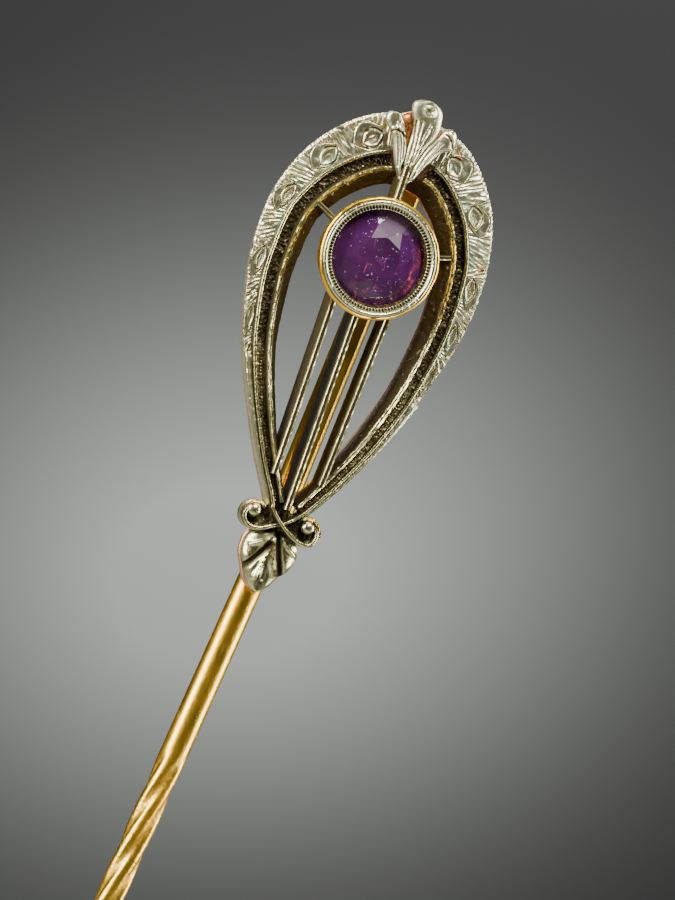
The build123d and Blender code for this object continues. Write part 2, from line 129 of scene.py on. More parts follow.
def soften(field, down, across_rows):
    """Each pass replaces a value by the mean of itself and its two neighbours, down the rows or across."""
    for _ in range(down):
        padded = np.pad(field, ((1, 1), (0, 0)), mode="edge")
        field = (padded[:-2] + padded[1:-1] + padded[2:]) / 3
    for _ in range(across_rows):
        padded = np.pad(field, ((0, 0), (1, 1)), mode="edge")
        field = (padded[:, :-2] + padded[:, 1:-1] + padded[:, 2:]) / 3
    return field


def grain(shape, seed, down=1, over=None):
    """Seeded random field of zero mean and unit spread, softened a number of times along each axis."""
    field = soften(np.random.default_rng(seed).normal(size=shape), down, down if over is None else over)
    return (field - field.mean()) / field.std()


def distance_to(flat, line):
    """Distance from each point of an (..., 2) array to the nearest segment of a line."""
    points = flat.reshape(-1, 1, 2)
    a = line[None, :-1]
    along = line[None, 1:] - a
    t = np.clip(((points - a) * along).sum(-1) / (along**2).sum(-1), 0, 1)
    away = np.linalg.norm(points - a - t[..., None] * along, axis=-1)
    return away.min(axis=1).reshape(flat.shape[:-1])


def full_turn(count):
    """Angles of one whole turn, evenly spaced from 0, as a column."""
    return np.linspace(0, 2 * math.pi, count, endpoint=False)[:, None]


# ---------------------------------------------------------------- meshes

def add_object(name, data):
    """New object that holds the data, linked into the scene."""
    made = bpy.data.objects.new(name, data)
    bpy.context.scene.collection.objects.link(made)
    return made


def signed_volume(points, faces):
    """Sum over a fan of each face of the triple product of its corners, divided by six."""
    total = 0.0
    for size in {len(f) for f in faces}:
        alike = np.array([f for f in faces if len(f) == size])
        first = points[alike[:, 0]]
        for k in range(1, size - 1):
            total += (first * np.cross(points[alike[:, k]], points[alike[:, k + 1]])).sum()
    return total / 6


def solid(name, points, faces, patina_and_shade=0.0, gilt=0.0, sharp=40, merge=False):
    """Closed mesh from points in millimetres, turned so that its faces point outwards.

    The first attribute is how deep in the patina each point lies, with painted shade added where flanks and
    edges face sideways, and gilt how much gold solder or wear it shows.
    """
    if signed_volume(points - points.mean(axis=0), faces) < 0:
        faces = [list(f)[::-1] for f in faces]
    mesh = bpy.data.meshes.new(name)
    mesh.from_pydata((points * MM).tolist(), [], [list(map(int, f)) for f in faces])
    for label, values in (("patina_and_shade", patina_and_shade), ("gilt", gilt)):
        layer = mesh.attributes.new(label, "FLOAT", "POINT")
        layer.data.foreach_set("value", np.broadcast_to(values, len(points)).astype(np.float32))
    if merge:
        work = bmesh.new()
        work.from_mesh(mesh)
        bmesh.ops.remove_doubles(work, verts=work.verts, dist=1e-8)
        bmesh.ops.dissolve_degenerate(work, edges=work.edges, dist=1e-8)
        work.to_mesh(mesh)
        work.free()
    mesh.shade_smooth()
    mesh.set_sharp_from_angle(angle=math.radians(sharp))
    return add_object(name, mesh)


def loops(name, rows, ring=False, patina_and_shade=0.0, gilt=0.0, sharp=40, merge=False):
    """Closed shell from rows of points, each row a closed loop: neighbours are joined by quads.

    A ring's last row joins its first. Otherwise each end row is closed by one face.
    """
    n, k = rows.shape[:2]
    i, j = np.meshgrid(np.arange(n if ring else n - 1), np.arange(k), indexing="ij")
    after, beside = (i + 1) % n, (j + 1) % k
    quads = np.stack([i * k + j, i * k + beside, after * k + beside, after * k + j], axis=-1).reshape(-1, 4)
    faces = quads.tolist()
    if not ring:
        faces += [list(range(k))[::-1], list(range((n - 1) * k, n * k))]
    patina_and_shade, gilt = (np.broadcast_to(values, (n, k)).reshape(-1) for values in (patina_and_shade, gilt))
    return solid(name, rows.reshape(-1, 3), faces, patina_and_shade, gilt, sharp, merge)


def body(x, z, h):
    """Points from arrays of x, z and the height in front of the stem's axis."""
    x, z, h = np.broadcast_arrays(x, z, h)
    return np.stack([x, -h, z], axis=-1)


def shell(name, x, z, front, back, patina_and_shade=0.0, gilt=0.0, merge=False):
    """Plate between a front and a back height over a grid of x and z, with rows across it.

    Each row runs over the front and returns along the back in three points, which are set to 0.6 in the
    darkening mask: painted shade on the back and on the side walls.
    """
    columns = x.shape[1]
    behind = body(x, z, back)[:, [columns - 1, columns // 2, 0]]
    rows = np.concatenate([body(x, z, front), behind], axis=1)
    fills = []
    # 0.6 at the back paints shade on the back and the side walls, which face away from the front.
    for values, at_back in ((patina_and_shade, 0.6), (gilt, 0.0)):
        over_front = np.broadcast_to(values, x.shape)
        fills.append(np.concatenate([over_front, np.full((len(x), 3), at_back)], axis=1))
    return loops(name, rows, patina_and_shade=fills[0], gilt=fills[1], merge=merge)


# ---------------------------------------------------------------- the pear frame

def skew(side, u):
    """Sideways lean of the handmade rim: up to 0.2 to the right at the top, and the left foot drawn in."""
    top = np.interp(u, [12.0, 13.0, 14.0, 15.0, 16.0], [0.0, 0.04, 0.09, 0.13, 0.19])
    left = np.interp(u, [0.0, 1.0, 3.5, 5.0, 6.5, 9.0], [0.05, 0.16, 0.16, 0.09, 0.03, 0.03])
    return top + np.where(side < 0, left, 0.0)


def whole_rim():
    """Rim from the left foot over the top to the right foot, with its inward normals and its sides."""
    right = OUTLINE * [HALF_WIDTH, HEIGHT]
    loop = np.vstack([(right * [-1, 1])[:0:-1], right])
    line = spline(loop, 2400)
    side = np.where(line[:, 0] < 0, -1, 1)
    line[:, 0] += skew(side, line[:, 1])
    run = np.gradient(line, axis=0)
    run /= np.linalg.norm(run, axis=1, keepdims=True)
    inward = np.stack([run[:, 1], -run[:, 0]], axis=1)
    return line, inward, side


RIM, INWARD, SIDE = whole_rim()


def nearest_row(levels, sides, signed):
    """Row closest to a signed level, such as -5 for the level 5 on the left, on that level's own side."""
    return int(np.where(sides == np.sign(signed), np.abs(levels - abs(signed)), np.inf).argmin())


def rim_run(start, end, count):
    """Points and inward normals of the rim between two signed levels, in evenly spaced rows."""
    first, last = (nearest_row(RIM[:, 1], SIDE, signed) for signed in (start, end))
    at = np.linspace(first, last, count)
    index = np.arange(len(RIM))
    points, normals = (
        np.stack([np.interp(at, index, field[:, i]) for i in range(2)], axis=1) for field in (RIM, INWARD)
    )
    return points, normals / np.linalg.norm(normals, axis=1, keepdims=True)


def across(run, a):
    """x, level and offset for rows of the rim and band numbers a, from 0 at the rim to 5 at the opening.

    The offset from the rim is the sum of the band widths at the row's level, straight within a band. In the
    lower half, x that would pass the middle of the head is held at MIDDLE_GAP.
    """
    points, inward = run
    widths = np.stack([np.interp(points[:, 1] / HEIGHT, LEVELS, w) for w in BAND_WIDTHS], axis=1)
    edges = np.concatenate([np.zeros((len(points), 1)), np.cumsum(widths, axis=1)], axis=1)
    a = np.broadcast_to(a, (len(points), np.shape(a)[-1]))
    whole = np.clip(np.floor(a).astype(int), 0, 4)
    rows = np.arange(len(points))[:, None]
    offset = edges[rows, whole] + (a - whole) * widths[rows, whole]
    x = points[:, :1] + inward[:, :1] * offset
    u = points[:, 1:] + inward[:, 1:] * offset
    side = np.sign(points[:, :1] + 1e-9)
    crossed = (side * x < MIDDLE_GAP) & (points[:, 1:] < 0.5 * HEIGHT)
    return np.where(crossed, side * MIDDLE_GAP, x), u, offset


def climb(u):
    """0 above the level where the rails start to climb, 1 at the crossing, straight between."""
    return np.clip((RISE_START - u) / RISE_START, 0, 1)


def outer_top(u):
    """Height of the outer rails' top: level at first, then straight up to the ridge at the crossing."""
    return OUTER_TOP + (RIDGE - OUTER_TOP) * climb(u)


def inner_top(u):
    """Height of the inner rails' top, which climbs in the same way from a little higher."""
    return INNER_TOP + (RIDGE - INNER_TOP) * climb(u)


# ---------------------------------------------------------------- border

# Buds round the border: signed level of the rim beside each, and the bud's turn in degrees
BUDS = [
    (-15.95, 14), (-14.4, 14), (-12.2, 2), (-9.35, -3), (-7.1, -3),
    (15.95, 12), (14.0, 6), (11.0, 0), (8.95, 0), (7.1, 0),
]
FLUTE_PITCH = 0.22
STROKE_DEPTH = 0.030
END_ROWS = 16


def almond(along, out, length, width):
    """1 on the middle line, 0 on an outline of two arcs that meet in points at plus and minus length."""
    return 1 - (along / length) ** 2 - np.abs(out) / width


def bud(along, out, long, wide):
    """Relief, dirt and cover of one engraved bud with the plain leaf behind it.

    along runs to the foot and out to the rim from the bud's middle. The bud is an almond with a thin raised
    outline and a smaller almond cut in it, one side deep. The leaf is a larger almond shifted outwards and to
    the foot, with a fine cut round it. A deep patch lies between them on the upper side.
    """
    outline = almond(along, out, 0.50 * long, 0.26 * wide)
    seed = almond(along - 0.05 * long, out + 0.02 * wide, 0.26 * long, 0.10 * wide)
    plain_leaf = almond(along - 0.14 * long, out - 0.15 * wide, 0.68 * long, 0.42 * wide)
    inside = step(outline, -0.02, 0.06)
    outside = 1 - inside
    under = step(plain_leaf, -0.02, 0.06) * outside
    rib = bump(outline, 0.12, 0.11)
    cut = bump(outline, -0.12, 0.10)
    edge = bump(plain_leaf, -0.06, 0.07) * outside
    pit = step(seed, 0.1, 0.4) * step(-out, -0.02 * wide, 0.03 * wide)
    patch = bump(outline, -0.24, 0.15) * step(out, 0.0, 0.06) * step(-along, 0.02, 0.20) * outside
    relief = inside * (0.012 + 0.035 * rib) - 0.045 * cut * outside + 0.030 * under - 0.04 * edge
    relief = relief - 0.022 * bump(seed, 0.02, 0.16) * inside - 0.03 * pit - 0.05 * patch
    dirt_and_shade = 0.34 * cut * outside + 0.26 * edge + 0.26 * bump(seed, 0.0, 0.2) * inside
    dirt_and_shade = dirt_and_shade + 0.42 * pit + 0.9 * patch
    cover = np.maximum(step(plain_leaf, -0.22, -0.08), step(outline, -0.30, -0.16))
    return relief, dirt_and_shade, cover


def border_relief(run, offset, width, seed):
    """Relief and dirt of the engraved border: straight strokes from the rim to the rail, and the listed buds.

    The strokes are a cosine of the arc length at which each meets the rim. Inwards they lean to the nearest
    leaf's tip on the rail, by a hyperbolic tangent of the distance from it, and grow fainter. Buds replace
    them.
    """
    points = run[0]
    one_column = (len(points), 1)
    reach = arc_length(points)[:, None]
    sides = np.sign(points[:, 0] + 1e-9)
    out = width - offset
    share = offset / width
    places = []
    for signed, degrees in BUDS:
        row = nearest_row(points[:, 1], sides, signed)
        places.append((reach[row, 0], width[row, 0], sides[row], math.radians(degrees)))
    tips = np.array([centre + 0.62 * side for centre, _, side, _ in places])
    away = reach - tips[np.abs(reach - tips[None]).argmin(axis=1)][:, None]
    met = reach + 0.50 * share**1.3 * np.tanh(away / 0.5)
    wander = 0.05 * grain(one_column, seed, 40, 0) + 0.012 * grain(one_column, seed + 1, 9, 0)
    wave = np.cos(2 * math.pi * (met + wander) / FLUTE_PITCH)
    force = np.clip(1 + 0.3 * grain(one_column, seed + 2, 10, 0), 0.3, 1.5)
    fade = (1 - 0.55 * step(share, 0.30, 0.60)) * (1 - step(share, 0.86, 0.97)) * force
    fade = fade * (0.35 + 0.65 * step(share, 0.01, 0.07))
    relief = STROKE_DEPTH * wave * fade
    dirt_and_shade = 0.55 * np.clip(-wave - 0.35, 0, 1) * fade
    for centre, local, side, turn in places:
        along, over = (reach - centre) * side, out - 0.36 * local
        c, s = math.cos(turn), math.sin(turn)
        raised, soiled, cover = bud(
            along * c - over * s, along * s + over * c, 0.85 + 0.20 * local, 0.95 * local**0.9
        )
        relief = relief * (1 - cover) + raised * cover
        dirt_and_shade = dirt_and_shade * (1 - cover) + soiled * cover
    return relief, dirt_and_shade


def border():
    """Engraved flange: rows round the rim, with the front height the flange's top plus its relief.

    The outline is drawn in by up to 0.02 at each flute, and the face falls gently towards the rim.
    """
    run = rim_run(-BORDER_END[-1], BORDER_END[1], 1750)
    columns = np.linspace(0.0, 1.0, 46)
    x, u, offset = across(run, columns)
    width = offset[:, -1:]
    relief, dirt_and_shade = border_relief(run, offset, width, 11)
    chips = grain(x.shape, 21, 3)
    scallop = 0.022 * step(1 - columns, 0.92, 1.0) * np.clip(-relief[:, 1:2] / STROKE_DEPTH, -0.3, 1)
    x = x + run[1][:, :1] * scallop
    u = u + run[1][:, 1:] * scallop
    rows = np.arange(len(x))
    ends = np.minimum(step(rows, 0, END_ROWS), step(len(x) - 1 - rows, 0, END_ROWS))[:, None]
    front = FLANGE_TOP - 0.02 + relief + 0.0012 * chips - 0.06 * bump(columns, 0.0, 0.04) - 0.12 * (1 - ends)
    front = front + 0.008 * grain(x.shape, 22, 60, 12)
    patches = step(grain(x.shape, 31, 140, 10), 2.0, 2.7)
    dirt_and_shade = dirt_and_shade + 0.75 * patches + 0.5 * bump(columns, 1.0, 0.04)
    gilt = 0.8 * step(grain(x.shape, 41, 70, 12), 1.3, 2.2)
    return shell("engraved_border", x, u + FOOT, front, PLATE_TOP, np.clip(dirt_and_shade, 0, 1), gilt)


def lower_side(side):
    """Strip below the border's end: a raised line on the rim, a plain face and a hollow beside the rail."""
    run = rim_run(side * (BORDER_END[side] + 0.05), side * JOIN, 260)
    columns = np.linspace(0.0, 1.0, 13)
    x, u, _ = across(run, columns)
    lines = 0.05 * bump(columns, 0.10, 0.12) + 0.02 * bump(columns, 0.62, 0.12)
    lines = lines - 0.05 * bump(columns, 1.0, 0.16)
    waves = 0.006 * grain(x.shape, 50 + side, 3)
    lobe = 0.06 * bump(u, BORDER_END[side] - 0.12, 0.16)
    front = outer_top(u) - 0.13 + lines + waves + lobe
    dirt_and_shade = 0.55 * bump(columns, 0.38, 0.10) + 0.75 * bump(columns, 1.0, 0.14)
    dirt_and_shade = dirt_and_shade + 0.1 * step(grain(x.shape, 53, 3), 1, 2)
    return shell(f"{WORD[side]}_lower_side", x, u + FOOT, front, PLATE_TOP, dirt_and_shade)


def backing():
    """Rose-gold plate behind the border: rows round the rim, drawn in at its edge, with soft corners."""
    run = rim_run(-JOIN, JOIN, 700)
    columns = np.array([0.06, 0.09, 1.0, 2.0, 3.0, 4.0, 4.96, 5.0])
    x, u, _ = across(run, columns)
    corner = np.array([0.05, 0.0, 0.0, 0.0, 0.0, 0.0, 0.0, 0.04])
    hammered = np.abs(0.008 * grain(x.shape, 61, 4))
    back = BACK + corner[::-1] * 0.6 + hammered
    return shell("backing_plate", x, u + FOOT, PLATE_TOP - corner, back, 0.25)


# ---------------------------------------------------------------- rails, channel and gallery wall

# Each rail's ribbon past the crossing, in x and level: into the scroll on the key's side
SCROLL_RUNS = {
    1: [(-0.57, 0.52), (0.0, 0.0), (0.31, -0.2), (0.67, -0.38), (1.04, -0.47), (1.35, -0.40),
        (1.5, -0.1), (1.46, 0.14), (1.30, 0.30)],
    -1: [(0.57, 0.50), (0.0, -0.02), (-0.31, -0.16), (-0.62, -0.33), (-1.04, -0.45), (-1.35, -0.35),
         (-1.51, -0.06), (-1.45, 0.16), (-1.26, 0.34)],
}
RAIL_START = 16.3
INNER_START = 16.4


def rail_profile(t, depth):
    """Half-round wire with a fine groove along its middle: a flattened arch less a narrow bell curve."""
    arch = np.sqrt(np.clip(1 - np.abs(t) ** 3, 0, 1))
    return depth * (arch - 1) - 0.045 * bump(t, 0.0, 0.22)


def outer_rail(side):
    """Outer rail from the head's top down its side, through the crossing and round the opposite scroll.

    The path is the middle of the rail's band and then a spline. The section is the rail's profile on two
    flanks, set square to the path. The left rail rides over the right one at the crossing.
    """
    x, u, _ = across(rim_run(side * RAIL_START, side * JOIN, 900), np.array([1.5]))
    scroll = spline(SCROLL_RUNS[-side], 260)
    keep = (scroll[:, 1] < u[-1, 0] - 0.04) | (np.arange(len(scroll)) > 60)
    line = evenly(np.vstack([np.column_stack([x[:, 0], u[:, 0]]), scroll[keep]]), 1300)
    slope = np.gradient(line, axis=0)
    slope /= np.linalg.norm(slope, axis=1, keepdims=True)
    square = np.stack([slope[:, 1], -slope[:, 0]], axis=1)
    in_scroll = np.cumsum(line[:, 1] < 0.05) > 0
    reach = np.linspace(0, 1, len(line))[:, None]
    entry = reach[in_scroll][0, 0]
    width = np.interp(line[:, 1] / HEIGHT, LEVELS, BAND_WIDTHS[1])[:, None]
    width = width + 0.04 * step(reach, entry, entry + 0.03) - 0.05 * step(reach, 0.985, 1.0)
    dip = 0.0 if side < 0 else 0.17 * bump(np.hypot(line[:, 0], line[:, 1])[:, None], 0.0, 0.42)
    curl = 0.14 * step(reach, entry + 0.04, 1.0)
    height = outer_top(np.maximum(line[:, 1:], 0.0)) - dip - curl
    t = np.linspace(-1, 1, 11)[None]
    top = height + rail_profile(t, 0.07) + 0.004 * grain((len(line), 11), 70 + side, 2)
    centre = line[:, None, :] + square[:, None, :] * (t * width / 2)[..., None]
    floor = np.where(in_scroll[:, None], height - 0.34, PLATE_TOP + 0.02)
    # Patina in the middle groove, and painted shade on the wire's edges, which face sideways.
    dirt_and_shade = 0.75 * bump(t, 0.0, 0.24) + 0.65 * step(np.abs(t), 0.86, 1.0)
    return shell(f"{WORD[side]}_rail", centre[..., 0], centre[..., 1] + FOOT, top, floor, dirt_and_shade)


def beads(along, out, pitch, radius):
    """Row of round grains: a half sphere on each multiple of the pitch, nothing between."""
    nearest = (along + pitch / 2) % pitch - pitch / 2
    inside = 1 - (nearest**2 + out**2) / radius**2
    return radius * np.sqrt(np.clip(inside, 0, 1))


def channel(side):
    """Sunken floor between the rails: stippled ground, and a row of milled grains low down."""
    run = rim_run(side * INNER_START, side * JOIN, 1350)
    columns = np.linspace(1.95, 3.05, 17)
    x, u, offset = across(run, columns)
    reach = arc_length(run[0])[:, None]
    middle = offset[:, 8:9]
    lit = (1 - step(u, 5.8, 6.6)) * (1 - 0.75 * bump(u, 3.9, 0.55))
    grains = beads(reach, offset - middle, 0.13, 0.058) * lit
    ground = outer_top(u) - 0.22 * (1 + climb(u)) + 0.08 * lit
    stipple = grain(x.shape, 80 + side, 6, 1)
    lumps = grain(x.shape, 83 + side, 18, 4)
    specks = step(grain(x.shape, 86 + side, 6, 1), 1.7, 2.5)
    front = ground + (0.020 * stipple + 0.018 * lumps) * (1 - 0.6 * lit) + 0.035 * specks + 1.5 * grains
    low = 1 - step(u, 5.5, 7.5)
    dirt_and_shade = np.clip(0.80 - 0.22 * low - 14 * grains - 0.55 * specks - 0.16 * np.clip(stipple, 0, 3), 0.1, 1)
    gilt = (bump(u, 10.6, 1.3) * bump(columns, 2.5, 0.22) if side > 0 else 0.0) + 8 * grains
    gilt = np.clip(gilt, 0, 1)
    return shell(f"{WORD[side]}_channel_floor", x, u + FOOT, front, PLATE_TOP + 0.01, dirt_and_shade, gilt)


def inner_rail(side):
    """Inner rail: a rounded bright line on its outer side, a broad face a little lower, and a soft corner."""
    run = rim_run(side * INNER_START, side * JOIN, 700)
    columns = np.linspace(3.0, 4.0, 13)
    x, u, _ = across(run, columns)
    profile = 0.02 * bump(columns, 3.22, 0.12) - 0.10 * bump(columns, 3.0, 0.10)
    profile = profile - 0.05 * bump(columns, 4.0, 0.12)
    dent = 0.010 * grain(x.shape, 90 + side, 16, 4) + 0.002 * grain(x.shape, 92, 3, 1)
    front = inner_top(u) - 0.02 + profile - 0.025 * step(columns, 3.35, 3.55) + dent
    # Painted shade where the rail's two edges and its step fall away sideways.
    dirt_and_shade = 0.7 * bump(columns, 3.0, 0.10) + 0.28 * bump(columns, 3.47, 0.08) + 0.45 * bump(columns, 4.0, 0.08)
    return shell(f"{WORD[side]}_inner_rail", x, u + FOOT, front, PLATE_TOP + 0.01, dirt_and_shade)


def gallery():
    """Bevelled wall inside the inner rails: it falls from under their edge to the opening, rough as cast."""
    run = rim_run(-JOIN, JOIN, 1200)
    columns = np.linspace(3.95, 5.0, 17)
    x, u, _ = across(run, columns)
    slope = np.clip(columns - 4.0, 0, 1)
    rough = 0.012 * grain(x.shape, 101, 4, 1) + 0.014 * grain(x.shape, 102, 24, 4)
    specks = step(grain(x.shape, 103, 5, 1), 1.5, 2.3)
    front = inner_top(u) - 0.09 - 0.36 * slope**1.3 + rough * step(slope, 0.0, 0.2) + 0.03 * specks
    front = front - 0.04 * bump(columns, 5.0, 0.04)
    lumps = grain(x.shape, 104, 20, 4)
    # A dark patina overall, with painted shade added where the wall slopes away into the opening.
    dirt_and_shade = np.clip(0.72 + 0.45 * step(slope, 0.03, 0.25) - 0.60 * specks + 0.08 * lumps, 0.1, 1)
    gilt = (0.05 + 0.3 * step(grain(x.shape, 105, 90, 8), 0.3, 1.5)) * bump(slope, 0.12, 0.25)
    return shell("gallery_wall", x, u + FOOT, front, PLATE_TOP + 0.01, dirt_and_shade, gilt)


# ---------------------------------------------------------------- bars and stays

def strut(name, start, end, top, base, width, flare, seed, rows=160):
    """Straight bar: across it a flat face with a raised line at each edge, and flanks that widen to the back.

    start and end are (x, u), and top is the face's height at each. share runs over half the section, in half
    widths, and drop is how far the surface lies below the face there: a share of the bar's depth on the
    flanks, and millimetres on the face. Both are mirrored for the other half.
    """
    t = np.linspace(0, 1, rows)[:, None]
    start, end = np.array(start), np.array(end)
    along = (end - start) / np.linalg.norm(end - start)
    square = np.array([along[1], -along[0]])
    share = np.array([-1.0, -0.99, -0.97, -0.93, -0.80, -0.62, -0.45, -0.2, 0.0])
    share = np.concatenate([share, -share[-2::-1]])[None]
    drop = np.array([0.75, 0.42, 0.18, 0.06, 0.0, 0.012, 0.03, 0.035, 0.03])
    drop = np.concatenate([drop, drop[-2::-1]])[None]
    grid = (rows, share.shape[1])
    half = width / 2 + 0.002 * grain((rows, 1), seed, 12, 0)
    level = top[0] + (top[1] - top[0]) * t
    depth = np.where(drop > 0.05, (level - base) * drop, drop)
    spread = half * share + np.sign(share) * flare / 2 * drop
    front = level - depth + 0.006 * grain(grid, seed + 1, 1) * (np.abs(share) < 0.5)
    x = start[0] + (end - start)[0] * t + square[0] * spread
    u = start[1] + (end - start)[1] * t + square[1] * spread
    # Painted shade on the flanks, which face sideways, and patina in the shallow middle of the face.
    dirt_and_shade = np.clip(1.25 * step(drop, 0.04, 0.12) + 0.85 * step(-np.abs(share), -0.60, -0.30), 0, 1)
    dirt_and_shade = np.clip(dirt_and_shade - 0.25 * step(grain(grid, seed + 2, 1), 0.9, 2.0), 0, 1)
    gilt = 0.5 * step(grain(grid, seed + 3, 5), 1.9, 2.6)
    return shell(name, x, u + FOOT, front, base, dirt_and_shade, gilt)


def bars():
    """The three long bars from the frame's foot to the collar."""
    head = BEZEL_Z - FOOT - 2.0
    runs = (
        ("left_bar", (-0.945, 1.75), (-1.033, head + 0.17), 0.10, 111),
        ("centre_bar", (0.0, 0.60), (0.0, head - 0.08), 0.12, 121),
        ("right_bar", (0.965, 1.9), (1.256, head + 0.30), 0.10, 131),
    )
    return [strut(name, foot, end, (RIDGE, RIDGE), PLATE_TOP, 0.27, flare, seed)
            for name, foot, end, flare, seed in runs]


def stays():
    """The side stays from the collar to the inner rails, and the broad top stay under the fleur."""
    centre, inner, outer = BEZEL_Z - FOOT, 2.2, 3.06
    made = []
    for side, angle in ((-1, 24.0), (1, 19.0)):
        c, s = math.cos(math.radians(angle)), math.sin(math.radians(angle))
        start, end = ((side * r * c, centre + r * s) for r in (inner, outer))
        name = f"{WORD[side]}_stay"
        made.append(strut(name, start, end, (1.50, 1.44), 1.08, 0.19, 0.05, 141 + side, rows=50))
    start, end = (0.02, centre + 2.15), (-0.02, centre + 3.75)
    made.append(strut("top_stay", start, end, (1.72, 1.80), 1.10, 0.30, 0.30, 151))
    return made


# ---------------------------------------------------------------- collar and stone

def lathe(name, radius, height, turn, patina_and_shade, gilt=0.0):
    """Ring about the stone's axis: each section is a closed loop of radii and heights at one turn angle."""
    section = body(radius * np.cos(turn), BEZEL_Z + radius * np.sin(turn), height)
    return loops(name, section, ring=True, patina_and_shade=patina_and_shade, gilt=gilt, sharp=45)


def collar_cup():
    """Gold collet: a flared wall with a soft foot and a thin lip, rippled where it was rubbed over."""
    turn = full_turn(240)
    radius, height = np.array([
        (2.10, 0.78), (2.14, 0.84), (2.20, 1.10), (2.29, 1.50), (2.355, 1.88), (2.385, 2.05), (2.385, 2.16),
        (2.36, 2.23), (2.31, 2.255), (2.27, 2.24), (2.26, 2.10), (2.02, 2.09), (1.98, 2.05), (1.98, 1.40),
        (2.0, 0.77), (2.08, 0.75),
    ]).T
    ripple = 0.010 * np.sin(3 * turn + 1) + 0.006 * np.sin(11 * turn)
    wear = grain((len(turn), len(radius)), 161, 3)
    outer = (radius > 2.2) * 1.0
    dirt_and_shade = np.clip(0.25 * outer * step(wear, 0.6, 2.0) + 0.6 * (height < 0.9) + 0.5 * (radius < 2.1), 0, 1)
    return lathe("bezel_cup", radius + ripple * outer + 0.004 * wear, height, turn, dirt_and_shade)


def collar_rim():
    """White collar rim: a rounded band with a ring of milled grains round the stone.

    The grains are 100 bells along the turn, over a band whose height falls to its inner lip. The skirt is the
    wall inside the opening, worn through on its lower left.
    """
    count, per_grain, milled_radius = 100, 9, 1.985
    turn = full_turn(count * per_grain)
    radius, height = np.array([
        (2.255, 2.12), (2.262, 2.22), (2.25, 2.28), (2.21, 2.32), (2.17, 2.33), (2.12, 2.31),
        (2.08, 2.28), (2.055, 2.245), (2.03, 2.235), (2.01, 2.235), (1.985, 2.235), (1.96, 2.23),
        (1.935, 2.22), (1.91, 2.20), (1.905, 2.12), (1.90, 2.02), (1.895, 1.92), (1.885, 1.86),
        (1.89, 1.84), (1.96, 1.84), (1.965, 2.08),
    ]).T
    milled = (0.5 + 0.5 * np.cos(count * turn)) ** 1.3 * step(radius, 1.925, 1.95)
    milled = milled * (1 - step(radius, 2.03, 2.06))
    dents = grain((len(turn), len(radius)), 171, 5)
    on_top = height > 2.2
    between = bump(radius, milled_radius, 0.055) * (1 - milled) * on_top
    skirt = (height < 2.15) * (radius < 1.97)
    inmost = radius < 1.902
    worn = bump(np.cos(turn - math.radians(235)), 1.0, 0.9) * skirt
    inner = radius - 0.09 * worn * inmost
    pits = 0.016 * step(dents, 0.8, 2.0) * bump(radius, 2.17, 0.10)
    tall = height + 0.075 * milled * on_top - 0.09 * between - pits
    tall = tall + 0.03 * dents * skirt * inmost
    dirt_and_shade = np.clip(1.5 * between + (0.72 + 0.2 * dents) * skirt + 0.15 * step(dents, 0.9, 2.0), 0, 1)
    return lathe("bezel_rim", inner, tall, turn, dirt_and_shade, 0.8 * skirt)


def bearing():
    """Ledge under the girdle: a flat ring with a bevelled seat that follows the stone's back."""
    turn = full_turn(160)
    radius, height = np.array([
        (1.975, 1.32), (1.975, 1.64), (1.94, 1.62), (1.72, 1.50), (1.70, 1.42), (1.71, 1.32),
    ]).T
    wear = grain((len(turn), len(radius)), 181, 2)
    return lathe("stone_bearing", radius + 0.004 * wear, height, turn, 0.4)


